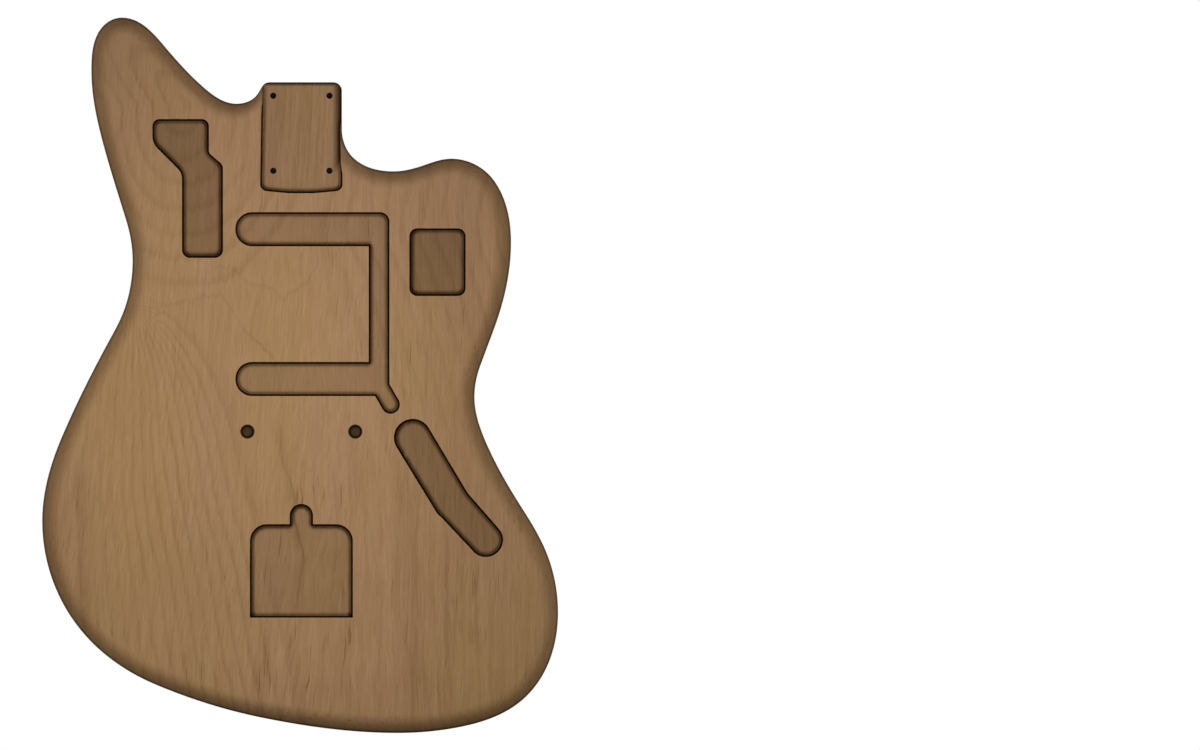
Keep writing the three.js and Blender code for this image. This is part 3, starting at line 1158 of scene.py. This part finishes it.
@dataclass(frozen=True)
class GrowthRings:
    """The blank's figure: a height whose whole levels are the thin dark lines.

    The lines hang in arches below the bass horn, fan out from the bass waist over the lower bout,
    and run down beside each other on the treble side. Places are in inches, heights in lines.
    Strong lines, drawn through listed points, wander between the arches and the fan.
    """

    horn_across: float = 4.90
    horn_down: float = 2.75
    horn_lean: float = 0.69
    horn_squeeze: float = 1.65
    horn_reach: float = 2.85
    horn_reach_bend: float = 1.2
    horn_roundness: float = 2.4
    horn_levels: float = 1.4935
    horn_start: float = 0.25
    plateau: float = 7.55
    plateau_bend: float = 0.6
    fan_across: float = 3.45
    fan_down: float = 8.05
    fan_flatness: float = 0.5
    fan_gap: float = 0.48
    fan_gap_reach: float = 3.0
    fan_bend: float = 0.13
    fan_bend_start: float = 5.0
    fan_level: float = 17.5
    fan_least_level: float = 7.9
    fan_sharpness: float = 1.3
    fan_fade: float = 0.35
    least_gap: float = 0.02
    side_edge: tuple[Pair, ...] = (
        (0.0, 8.4), (4.8, 8.95), (6.3, 9.05), (7.4, 9.5), (9.2, 10.1),
        (10.8, 10.6), (12.0, 11.0), (14.0, 10.9), (16.5, 11.0), (20.0, 11.4),
    )
    side_gap: float = 0.5
    side_narrowing: float = 0.012
    side_narrowing_start: float = 5.0
    side_start: float = -0.9
    side_sharpness: float = 2.0
    strong_lines: tuple[DrawnLine, ...] = (
        DrawnLine(WANDER, 0.035, 0.70, Zone(top=(8.5, 9.2))),
        DrawnLine(WANDER, 0.035, 1.00, CORE),
        DrawnLine(WANDER, 0.120, 0.80, CORE, offset=0.07),
        DrawnLine(SHELF, 0.045, 0.70, Zone(left=(3.7, 4.4), right=(6.9, 7.4)), runs_across=True),
        DrawnLine(HOLLOW, 0.050, 0.75, Zone(left=(5.2, 6.2), right=(8.3, 8.5)), runs_across=True),
    )

    def level(self, grain: Grain) -> Number:
        """Works out the height at a point.

        Args:
            grain: The place in the wood, already warped.

        Returns:
            The height, in lines.
        """
        across, down = grain.across, grain.down
        rise = (self.horn_down - down).least(0.0)
        aside = abs(across - self.horn_across + rise * self.horn_lean)
        aside = aside.softly_most(self.horn_reach, self.horn_reach_bend) * self.horn_squeeze
        power = self.horn_roundness
        arch = (aside**power + abs(down - self.horn_down) ** power) ** (1.0 / power)
        arch = arch * self.horn_levels - self.horn_start
        reach = (down - self.fan_down).least(self.least_gap)
        beside = across - self.fan_across
        spread = (reach * reach + beside * beside * self.fan_flatness) ** 0.5
        spacing = (spread * self.fan_gap / (spread + self.fan_gap_reach)).least(self.least_gap)
        lean = (reach - self.fan_bend_start).least(0.0) * self.fan_bend
        fan = self.fan_level - (beside - lean) / spacing
        fan = fan.softly_above(self.fan_least_level, self.fan_sharpness)
        narrowing = (down - self.side_narrowing_start).least(0.0) * self.side_narrowing
        side = (across - down.through(self.side_edge)) / (self.side_gap - narrowing)
        return (
            arch.softly_most(self.plateau, self.plateau_bend)
            + fan * reach.between(self.least_gap, self.fan_fade)
            + side.softly_above(self.side_start, self.side_sharpness)
        )


@dataclass(frozen=True)
class Layer:
    """A layer of fibres, and how deep it is on plain wood and how much more in three zones."""

    noise: Noise
    plain: float
    heel: float = 0.0
    broad: float = 0.0
    rim: float = 0.0


@dataclass(frozen=True)
class AlderFigure:
    """The wood's figure: its warped ring lines, and the fibres, streaks and flecks on them."""

    rings: GrowthRings = GrowthRings()
    waver: Noise = Noise(0.9, 0.5, 0.55, detail=3.0, shift=11.7, roughness=0.6)
    waver_across: float = 0.32
    waver_down: float = 0.2
    jog: Noise = Noise(7.0, 1.6, 0.5, detail=2.0, shift=5.3)
    jog_across: float = 0.06
    jog_down: float = 0.34
    ring_tilt: float = 0.08
    line_front: float = 0.08
    line_back: float = 0.22
    strength: Noise = Noise(0.5, 0.5, 0.25, detail=1.0, shift=21.0)
    strength_swing: float = 1.6
    strength_mean: float = 0.8
    strength_least: float = 0.25
    heel: Zone = Zone(left=(6.6, 7.0), right=(9.2, 9.8), foot=(4.6, 5.2))
    heel_calm: float = 0.75
    treble: Zone = Zone(left=(9.6, 10.6), top=(6.0, 11.0))
    treble_calm: float = 0.45
    bottom: Zone = Zone(top=(15.5, 18.0))
    rim: Zone = Zone(right=(2.6, 4.0))
    streaks: tuple[Streak, ...] = (
        Streak((2.10, 12.2), (2.25, 16.4), 0.16, 1.20),
        Streak((7.28, 11.0), (7.95, 13.6), 0.14, 0.70),
        Streak((9.55, 11.8), (9.55, 13.4), 0.24, 0.70),
        Streak((10.80, 12.8), (11.12, 18.6), 0.22, 0.95),
        Streak((11.90, 14.2), (11.80, 19.0), 0.12, 0.60),
        Streak((12.60, 14.6), (12.75, 17.6), 0.12, 0.60),
        Streak((7.15, 16.6), (6.80, 19.6), 0.08, 1.00),
    )
    streak_sway: float = 0.15
    slant: float = 0.07
    slant_zone: Zone = Zone(right=(7.0, 11.0))
    fibre_sway: float = 0.25
    layers: tuple[Layer, ...] = (
        Layer(Noise(26.0, 26.0, 1.6, detail=3.0, shift=2.0, roughness=0.65), plain=0.5),
        Layer(
            Noise(10.0, 10.0, 0.22, detail=3.0, shift=7.9, roughness=0.6),
            plain=0.15, heel=0.475, broad=0.175,
        ),
        Layer(Noise(2.4, 2.4, 0.09, detail=2.0, shift=17.0), plain=0.024, broad=0.056, rim=0.128),
    )
    fleck: Noise = Noise(32.0, 32.0, 0.8, detail=1.0, shift=14.0)
    fleck_edge: Pair = (0.15, 0.26)
    fleck_depth: float = 0.40
    patch: Noise = Noise(0.7, 0.7, 0.4, detail=1.0, shift=31.0)
    patch_zone: Zone = Zone(top=(9.0, 15.0))
    patch_lift: float = 0.16
    patch_edge: Pair = (-0.05, 0.25)
    patch_rest: float = 0.15

    def lines(self, grain: Grain, waver: Number) -> Number:
        """Works out how dark the ring lines and the streaks are.

        Args:
            grain: The place in the wood.
            waver: The slow warp of the wood.

        Returns:
            The darkness, about 1 in a line.
        """
        jog = self.jog.at(grain)
        warped = Grain(
            grain.across + waver * self.waver_across + jog * self.jog_across + grain.deep * self.ring_tilt,
            grain.deep,
            grain.down + jog * self.jog_down + waver * self.waver_down,
        )
        part = self.rings.level(warped).past_whole()
        rings = part.least(0.0).line(self.line_front) * part.most(0.0).line(self.line_back)
        strength = self.strength.at(grain) * self.strength_swing + self.strength_mean
        calm = 1.0 - self.heel.at(grain) * self.heel_calm - self.treble.at(grain) * self.treble_calm
        swayed = grain.moved(waver * self.streak_sway)
        strong = sum(line.drawn(warped) for line in self.rings.strong_lines)
        streaks = sum(streak.drawn(swayed) for streak in self.streaks)
        return rings * strength.least(self.strength_least) * calm + strong + streaks

    def fibres(self, grain: Grain, waver: Number) -> Number:
        """Works out how dark the fibres, soft bands and flecks are.

        Args:
            grain: The place in the wood.
            waver: The slow warp of the wood.

        Returns:
            The darkness, about 0.
        """
        slant = self.slant_zone.at(grain) * grain.down * self.slant
        laid = grain.moved(slant + waver * self.fibre_sway)
        heel, rim = self.heel.at(grain), self.rim.at(grain)
        broad = self.treble.at(grain).least(self.bottom.at(grain))
        fibres = sum(
            layer.noise.at(laid) * (heel * layer.heel + broad * layer.broad + rim * layer.rim + layer.plain)
            for layer in self.layers
        )
        patch = self.patch.at(grain) + self.patch_zone.at(grain) * self.patch_lift
        patch = patch.between(*self.patch_edge) * (1.0 - self.patch_rest) + self.patch_rest
        return fibres + self.fleck.at(laid).between(*self.fleck_edge) * patch * self.fleck_depth


@dataclass(frozen=True)
class AlderTone:
    """The wood's colours, yellower, pinker and in the lines, and where it is lighter and pinker.

    The lighter and pinker rows are zones with how much they add.
    """

    yellow: Triple = (0.412, 0.240, 0.096)
    pink: Triple = (0.425, 0.240, 0.116)
    line: Triple = (0.205, 0.088, 0.024)
    drift: Noise = Noise(0.30, 0.3, 0.12, detail=2.0, shift=3.1)
    drift_depth: float = 0.16
    lighter: tuple[tuple[Zone, float], ...] = (
        (Zone(left=(9.5, 13.0), foot=(12.5, 16.5)), -0.09),
        (Zone(right=(3.5, 9.0), top=(10.0, 13.0)), 0.035),
        (Zone(top=(15.5, 18.0)), 0.07),
    )
    hue_drift: Noise = Noise(0.45, 0.3, 0.15, detail=2.0, shift=41.0)
    hue_drift_depth: float = 0.7
    hue_slope: float = 0.05
    hue_middle: float = 6.6
    hue_reach: Pair = (-0.08, 0.03)
    pinker: tuple[tuple[Zone, float], ...] = (
        (Zone(top=(14.5, 17.5)), -0.06),
        (Zone(top=(14.5, 17.5), right=(6.5, 9.5)), 0.14),
        (Zone(foot=(4.0, 8.5)), 0.13),
    )
    hue_edge: Pair = (-0.2, 0.2)

    def light(self, grain: Grain) -> Number:
        """Works out how light the plain wood is, as a share of its own colour, about 1."""
        added = sum(zone.at(grain) * amount for zone, amount in self.lighter)
        return self.drift.at(grain) * self.drift_depth + added + 1.0

    def hue(self, grain: Grain) -> Number:
        """Works out how pink the plain wood is.

        Args:
            grain: The place in the wood.

        Returns:
            The share of the pinker wood, from 0 to 1.
        """
        low, high = self.hue_reach
        slope = ((grain.across - self.hue_middle) * self.hue_slope).least(low).most(high)
        added = sum(zone.at(grain) * amount for zone, amount in self.pinker)
        return (self.hue_drift.at(grain) * self.hue_drift_depth + slope + added).between(*self.hue_edge)


class Surface(Enum):
    """How a face of the wood was worked."""

    # The routed and drilled materials carry painted shade; the sanded one painted shade on edges, light on
    # sides.
    SANDED = "sanded_alder"
    ROUTED = "routed_alder_painted_shade"
    DRILLED = "drilled_alder_painted_shade"


@dataclass(frozen=True)
class PaintedCavityShade:
    """Painted shade in the pockets and holes: dark floors, walls, nooks, rims and heel edge.

    Places and depths are in inches, the depths from the neck pocket's floor towards the back. A
    facing is a share of how squarely the wood faces front or back, and the nook's reach is in
    metres.
    """

    # Painted shade in drilled holes: near-black walls, and floors a little lighter from 5 inches down.
    drilled_facing: Pair = (0.3, 0.98)
    drilled_down: Pair = (5.0, 8.0)
    hole_floor_painted_shade: float = 0.17
    hole_wall_painted_shade: float = 0.045
    # Painted shade where ambient occlusion finds a nook near a wall.
    nook_reach: float = 0.0034
    nook_samples: int = 8
    nook_open: Pair = (0.47, 1.0)
    nook_painted_shade: float = 0.04
    # Painted shade on the neck pocket's floor along the heel's top and treble edge.
    heel_across: float = 9.114
    heel_down: float = 2.193
    heel_layer: Pair = (0.02, 0.05)
    heel_top: Pair = (0.01, 0.13)
    heel_side: Pair = (0.01, 0.30)
    heel_side_end: Pair = (4.1, 4.7)
    heel_shade: float = 0.95
    # Painted shade on routed floors, more on deep ones, a little painted light below the slots, and on
    # walls and rims.
    floor_tone: float = 0.87
    slot_depth: Pair = (0.05, 0.10)
    deep_floor_painted_lift: float = 0.04
    deep_depth: Pair = (0.60, 0.75)
    deep_shade: float = 0.15
    wall_facing: Pair = (0.3, 1.0)
    wall_painted_shade: float = 0.55
    rim_depth: Pair = (-0.594, -0.580)
    rim_painted_shade: float = 0.02

    def drilled(self, grain: Grain, facing: Number) -> Number:
        """Works out the shade painted into a drilled hole, as a share of the wood's own tone."""
        floor = facing.between(*self.drilled_facing) * grain.down.between(*self.drilled_down)
        return floor * self.hole_floor_painted_shade + self.hole_wall_painted_shade

    def routed(self, grain: Grain, facing: Number) -> Number:
        """Works out the shade painted into a routed pocket.

        Args:
            grain: The place in the wood.
            facing: How squarely the surface faces front or back.

        Returns:
            The share of the wood's own tone that is left under the painted shade.
        """
        tree = facing.tree
        # Painted shade in nooks: ambient occlusion near a wall darkens the colour.
        nook = tree.nodes.new("ShaderNodeAmbientOcclusion")
        nook.samples = self.nook_samples
        nook.only_local = True
        nook.inputs["Distance"].default_value = self.nook_reach
        open_share = Number(tree, nook.outputs["AO"]).between(*self.nook_open)
        # Painted shade along the heel's top and treble edge, on the neck pocket's floor alone.
        top = (grain.down - self.heel_down).between(*self.heel_top)
        side = (self.heel_across - grain.across).between(*self.heel_side)
        side = side.least(grain.down.between(*self.heel_side_end))
        on_floor = 1.0 - abs(grain.deep).between(*self.heel_layer)
        heel = 1.0 - (1.0 - top * side) * on_floor * self.heel_shade
        # Painted shade on routed faces by their depth, with a little painted light on faces below the
        # slots' floors.
        slot = grain.deep.between(*self.slot_depth) * self.deep_floor_painted_lift
        floor = slot + self.floor_tone - grain.deep.between(*self.deep_depth) * self.deep_shade
        # Painted shade on the steep walls, and a painted near-black line on the rim's ease.
        wall = facing.between(*self.wall_facing) * (1.0 - self.wall_painted_shade) + self.wall_painted_shade
        rim = grain.deep.between(*self.rim_depth) * (1.0 - self.rim_painted_shade) + self.rim_painted_shade
        return wall * rim * (open_share * (1.0 - self.nook_painted_shade) + self.nook_painted_shade) * heel * floor


@dataclass(frozen=True)
class AlderFinish:
    """Bare alder with its figure and tone, and light and shade painted into its colour.

    The figure is laid out in inches as the photo shows them, a hair short of true ones. The turn,
    edge and side zones are shares of how far the wood turns aside, over which shade is painted on
    the rounded edges and light on the flat sides, and bumps are in metres.
    """

    surface: Surface
    figure: AlderFigure = AlderFigure()
    tone: AlderTone = AlderTone()
    cavity_shade: PaintedCavityShade = PaintedCavityShade()
    inch: float = 25.389
    origin_across: float = 8.035
    origin_down: float = 3.552
    line_depth: float = 0.14
    contrast: float = 1.55
    # Painted shade on the rounded edges as they turn aside, and painted light on the flat sides.
    turn_zone: Pair = (0.0, 0.75)
    turn_painted_shade: float = 0.33
    edge_zone: Pair = (0.85, 0.97)
    edge_painted_shade: float = 0.20
    side_zone: Pair = (0.98, 1.0)
    side_painted_light: float = 0.41
    gloss: float = 0.25
    gloss_zone: Pair = (0.5, 1.0)
    roughness: float = 0.7
    fibre_roughness: float = 0.6
    bump_height: float = 0.00012
    bump_strength: float = 0.5
    fibre_bump: float = 3.0
    line_bump: float = 0.3

    def grain(self, tree: NodeTree) -> Grain:
        """Reads the place in the wood, in inches from a corner of the blank.

        Args:
            tree: The material's nodes.

        Returns:
            The place.
        """
        coordinates = tree.nodes.new("ShaderNodeTexCoord")
        mapping = tree.nodes.new("ShaderNodeMapping")
        share = 1.0 / (self.inch * MM)
        mapping.inputs["Scale"].default_value = (share, share, -share)
        mapping.inputs["Location"].default_value = (self.origin_across, 0.0, self.origin_down)
        split = tree.nodes.new("ShaderNodeSeparateXYZ")
        tree.links.new(coordinates.outputs["Object"], mapping.inputs["Vector"])
        tree.links.new(mapping.outputs["Vector"], split.inputs["Vector"])
        return Grain(*(Number(tree, split.outputs[axis]) for axis in "XYZ"))

    def painted_shading(self, tree: NodeTree, grain: Grain) -> Number:
        """Works out the shade painted on rounded edges, pockets and holes, and the light on flat sides.

        Args:
            tree: The material's nodes.
            grain: The place in the wood.

        Returns:
            The share of the wood's own tone that is left, with the painted light and shade.
        """
        place = tree.nodes.new("ShaderNodeNewGeometry")
        split = tree.nodes.new("ShaderNodeSeparateXYZ")
        tree.links.new(place.outputs["Normal"], split.inputs["Vector"])
        facing = abs(Number(tree, split.outputs["Y"]))
        if self.surface is Surface.DRILLED:
            return self.cavity_shade.drilled(grain, facing)
        if self.surface is Surface.ROUTED:
            return self.cavity_shade.routed(grain, facing)
        # Sanded faces: painted shade darkens the rounded edges as they turn aside, painted light lifts the
        # flat sides.
        aside = (1.0 - facing * facing).least(0.0) ** 0.5
        shades = (
            (self.turn_zone, -self.turn_painted_shade), (self.edge_zone, -self.edge_painted_shade),
            (self.side_zone, self.side_painted_light),
        )
        return sum(aside.between(*zone) * shade for zone, shade in shades) + 1.0

    def build(self) -> Material:
        """Makes the material.

        Returns:
            The finished material.
        """
        material = bpy.data.materials.new(self.surface.value)
        material.use_nodes = True
        tree = material.node_tree
        shader = tree.nodes["Principled BSDF"]
        grain = self.grain(tree)
        waver = self.figure.waver.at(grain)
        lines, dark = self.figure.lines(grain, waver), self.figure.fibres(grain, waver)
        # The wood's own lightness times the painted light and shade; the base colour mixes towards black by
        # it.
        light = self.tone.light(grain) * self.painted_shading(tree, grain)
        clear = 1.0 - (lines * self.line_depth + dark) * self.contrast
        wood = self.blend(self.tone.hue(grain), self.tone.yellow, self.tone.pink)
        figured = self.blend(clear, self.tone.line, wood)
        bump = tree.nodes.new("ShaderNodeBump")
        bump.inputs["Distance"].default_value = self.bump_height
        bump.inputs["Strength"].default_value = self.bump_strength
        height = 1.0 - dark * self.fibre_bump - lines * self.line_bump
        tree.links.new(height.socket, bump.inputs["Height"])
        sockets = {
            "Base Color": self.blend(light, (0.0, 0.0, 0.0), figured),
            "Specular IOR Level": (light.between(*self.gloss_zone) * self.gloss).socket,
            "Roughness": (dark * self.fibre_roughness + self.roughness).most(1.0).socket,
            "Normal": bump.outputs["Normal"],
        }
        for name, socket in sockets.items():
            tree.links.new(socket, shader.inputs[name])
        return material

    @staticmethod
    def blend(share: Number, first: NodeSocket | Triple, second: NodeSocket | Triple) -> NodeSocket:
        """Mixes two colours, each plain or given by a socket.

        Args:
            share: How much of the second colour there is.
            first: The first colour.
            second: The second colour.

        Returns:
            The mixed colour.
        """
        mix = share.tree.nodes.new("ShaderNodeMix")
        mix.data_type = "RGBA"
        mix.clamp_factor = False
        share.tree.links.new(share.socket, mix.inputs["Factor"])
        for name, colour in (("A", first), ("B", second)):
            socket = next(item for item in mix.inputs if item.name == name and item.type == "RGBA")
            if isinstance(colour, NodeSocket):
                share.tree.links.new(colour, socket)
            else:
                socket.default_value = (*colour, 1.0)
        return next(item for item in mix.outputs if item.type == "RGBA")


# The whole body


@dataclass
class GuitarBody:
    """The routed blank, sawn back into the three boards that it was glued from."""

    blank: Blank = field(default_factory=Blank)
    neck: NeckJoint = field(default_factory=NeckJoint)
    pickups: PickupRouting = field(default_factory=PickupRouting)
    controls: ControlRouting = field(default_factory=ControlRouting)
    bridge: BridgeRouting = field(default_factory=BridgeRouting)
    wires: WireHoles = field(default_factory=WireHoles)
    bass_joint: float = -49.9
    treble_joint: float = 69.9
    slab_share: float = 4.0
    sharp_angle: float = 40.0
    shading_weight: int = 100

    def cut(self, shop: Shop) -> list[Object]:
        """Cuts everything that is routed or drilled.

        Args:
            shop: The outline and the tools.

        Returns:
            The solids to cut away, in the order of the work.
        """
        parts = (self.neck, self.controls, self.pickups, self.bridge)
        solids = [solid for part in parts for solid in part.cut(shop)]
        return solids + self.wires.cut(shop, self.pickups, self.controls, self.bridge)

    @staticmethod
    def combined(source: Object, others: list[Object], operation: str, name: str) -> Mesh:
        """Combines a solid with others, one after another.

        Args:
            source: The solid.
            others: The solids that cut it.
            operation: DIFFERENCE or INTERSECT.
            name: The name of the mesh that results.

        Returns:
            The mesh.
        """
        for other in others:
            modifier = source.modifiers.new(other.name, "BOOLEAN")
            modifier.operation = operation
            modifier.solver = "EXACT"
            modifier.material_mode = "TRANSFER"
            modifier.object = other
        graph = bpy.context.evaluated_depsgraph_get()
        mesh = bpy.data.meshes.new_from_object(source.evaluated_get(graph))
        mesh.name = name
        source.modifiers.clear()
        return mesh

    def board_slab(self, board: Board, finish: Material) -> Object:
        """Makes the block of space that one board fills between its glued joints.

        Args:
            board: The board.
            finish: The material of its glued faces.

        Returns:
            The block.
        """
        reach = self.blank.outline.width
        edges = {
            Board.BASS: (-reach, self.bass_joint),
            Board.CENTRE: (self.bass_joint, self.treble_joint),
            Board.TREBLE: (self.treble_joint, reach),
        }
        low, high = edges[board]
        shape = bmesh.new()
        bmesh.ops.create_cube(shape, size=1.0)
        bmesh.ops.scale(shape, verts=shape.verts, vec=(high - low, reach, self.slab_share * reach))
        bmesh.ops.translate(shape, verts=shape.verts, vec=((low + high) / 2.0, 0.0, 0.0))
        return new_object(f"{board.piece}_slab", shape, finish)

    def smooth(self, piece: Object) -> None:
        """Shades the piece's curves smooth and keeps its flat faces flat.

        Args:
            piece: The board.
        """
        piece.data.shade_smooth()
        piece.data.set_sharp_from_angle(angle=math.radians(self.sharp_angle))
        modifier = piece.modifiers.new("even_shading", "WEIGHTED_NORMAL")
        modifier.keep_sharp = True
        modifier.weight = self.shading_weight

    def build(self) -> list[Object]:
        """Builds the three boards, dresses them and ties them to the frame.

        Returns:
            The boards' pieces.
        """
        sanded, routed, drilled = (AlderFinish(surface).build() for surface in Surface)
        whole = self.blank.build(sanded, routed)
        solids = self.cut(Shop(self.blank.outline, Cutter(routed), Cutter(drilled)))
        whole.data = self.combined(whole, solids, "DIFFERENCE", "routed_blank")
        LOG.info("routed blank: %d faces, %d solids cut away", len(whole.data.polygons), len(solids))
        pieces = []
        for board in Board:
            slab = self.board_slab(board, sanded)
            mesh = self.combined(whole, [slab], "INTERSECT", board.piece)
            piece = linked(board.piece, mesh)
            self.smooth(piece)
            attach(piece, "root")
            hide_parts(board.node)
            bpy.data.objects.remove(slab)
            LOG.info("%s: %d faces for %s", piece.name, len(mesh.polygons), board.node)
            pieces.append(piece)
        for used in (*solids, whole):
            bpy.data.objects.remove(used)
        return pieces


# The studio


@dataclass
class Studio:
    """A pale floor, plain soft light, and a camera straight in front of the body.

    Its sizes are in metres, except the floor's height and size.
    """

    view_width: float = 0.8125
    camera_x: float = 0.2022
    camera_z: float = -0.1637
    camera_distance: float = 3.0
    floor_height: float = -406.1
    floor_size: float = 30000.0
    floor_tone: float = 0.20
    floor_glow: float = 0.36
    floor_shade: float = 0.51
    floor_shade_reach: float = 0.25
    floor_painted_shadow_start: float = 0.3
    ambient: float = 0.12
    key_distance: float = 2.5
    key_softness: float = 0.25
    key_cone: float = 21.5
    key_power: float = 180.0
    fill_distance: float = 1.6
    fill_size: float = 0.9
    fill_power: float = 6.0
    fill_height: float = 0.4
    body_middle: Triple = (-0.017, 0.0, -0.148)

    def floor(self) -> None:
        """Lays the floor under the body's lowest edge; to the camera it glows white, with a painted shadow
        near the body.
        """
        shape = bmesh.new()
        bmesh.ops.create_grid(shape, x_segments=1, y_segments=1, size=self.floor_size / 2.0)
        bmesh.ops.translate(shape, verts=shape.verts, vec=(0.0, 0.0, self.floor_height))
        material = bpy.data.materials.new("studio_floor")
        material.use_nodes = True
        tree = material.node_tree
        shader = tree.nodes["Principled BSDF"]
        shader.inputs["Base Color"].default_value = (self.floor_tone,) * 3 + (1.0,)
        shader.inputs["Roughness"].default_value = 1.0
        shader.inputs["Specular IOR Level"].default_value = 0.0
        shader.inputs["Emission Color"].default_value = (1.0, 1.0, 1.0, 1.0)
        # Painted shadow: ambient occlusion near the body dims the floor's glow.
        nook = tree.nodes.new("ShaderNodeAmbientOcclusion")
        nook.inputs["Distance"].default_value = self.floor_shade_reach
        shade = Number(tree, nook.outputs["AO"]).between(self.floor_painted_shadow_start, 1.0)
        glow = self.seen(tree) * (shade * self.floor_glow + self.floor_shade)
        tree.links.new(glow.socket, shader.inputs["Emission Strength"])
        new_object("studio_floor", shape, material)

    def world(self) -> None:
        """Lights the scene evenly all round, and shows white behind the body."""
        world = bpy.data.worlds.new("studio")
        bpy.context.scene.world = world
        world.use_nodes = True
        tree = world.node_tree
        background = tree.nodes["Background"]
        background.inputs["Color"].default_value = (1.0, 1.0, 1.0, 1.0)
        strength = self.seen(tree) * (1.0 - self.ambient) + self.ambient
        tree.links.new(strength.socket, background.inputs["Strength"])

    @staticmethod
    def seen(tree: NodeTree) -> Number:
        """Tells what the camera sees, straight or in a reflection, from what only lights.

        Args:
            tree: The nodes of a material or of the world.

        Returns:
            1 for what is seen, and 0 for light on its way to the wood.
        """
        path = tree.nodes.new("ShaderNodeLightPath")
        seen = Number(tree, path.outputs["Is Camera Ray"])
        for kind in ("Is Glossy Ray", "Is Transmission Ray"):
            seen = seen.least(Number(tree, path.outputs[kind]))
        return seen

    def hang(self, light: Light, offset: Triple) -> None:
        """Hangs a lamp that points at the body's middle.

        Args:
            light: Its light.
            offset: Where it hangs, from the body's middle.
        """
        lamp = linked(light.name, light)
        lamp.location = Vector(self.body_middle) + Vector(offset)
        lamp.rotation_euler = (-Vector(offset)).to_track_quat("-Z", "Y").to_euler()

    def lamps(self) -> None:
        """Hangs a key lamp in front and one behind, and a weaker one at each side."""
        for name, side in (("front", -1.0), ("back", 1.0)):
            light = bpy.data.lights.new(f"key_{name}", "SPOT")
            light.energy = self.key_power
            light.shadow_soft_size = self.key_softness
            light.spot_size = math.radians(self.key_cone)
            light.spot_blend = 1.0
            self.hang(light, (0.0, side * self.key_distance, 0.0))
        for name, side in (("bass", -1.0), ("treble", 1.0)):
            light = bpy.data.lights.new(f"fill_{name}", "AREA")
            light.energy = self.fill_power
            light.size = self.fill_size
            self.hang(light, (side * self.fill_distance, 0.0, self.fill_height))

    def camera(self) -> None:
        """Places the camera straight in front, with the frame's edges where the photo has them."""
        data = bpy.data.cameras.new("camera")
        data.type = "ORTHO"
        data.ortho_scale = self.view_width
        camera = linked("camera", data)
        camera.location = (self.camera_x, -self.camera_distance, self.camera_z)
        camera.rotation_euler = (math.pi / 2.0, 0.0, 0.0)
        bpy.context.scene.camera = camera

    def build(self) -> None:
        """Sets up the whole studio."""
        self.floor()
        self.world()
        self.lamps()
        self.camera()
        bpy.context.scene.view_settings.view_transform = "Standard"


def main() -> None:
    """Builds the body and the studio."""
    logging.basicConfig(level=logging.INFO, format="%(name)s: %(message)s")
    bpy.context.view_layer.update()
    Studio().build()
    pieces = GuitarBody().build()
    LOG.info("%d pieces built", len(pieces))


if __name__ == "__main__":
    main()
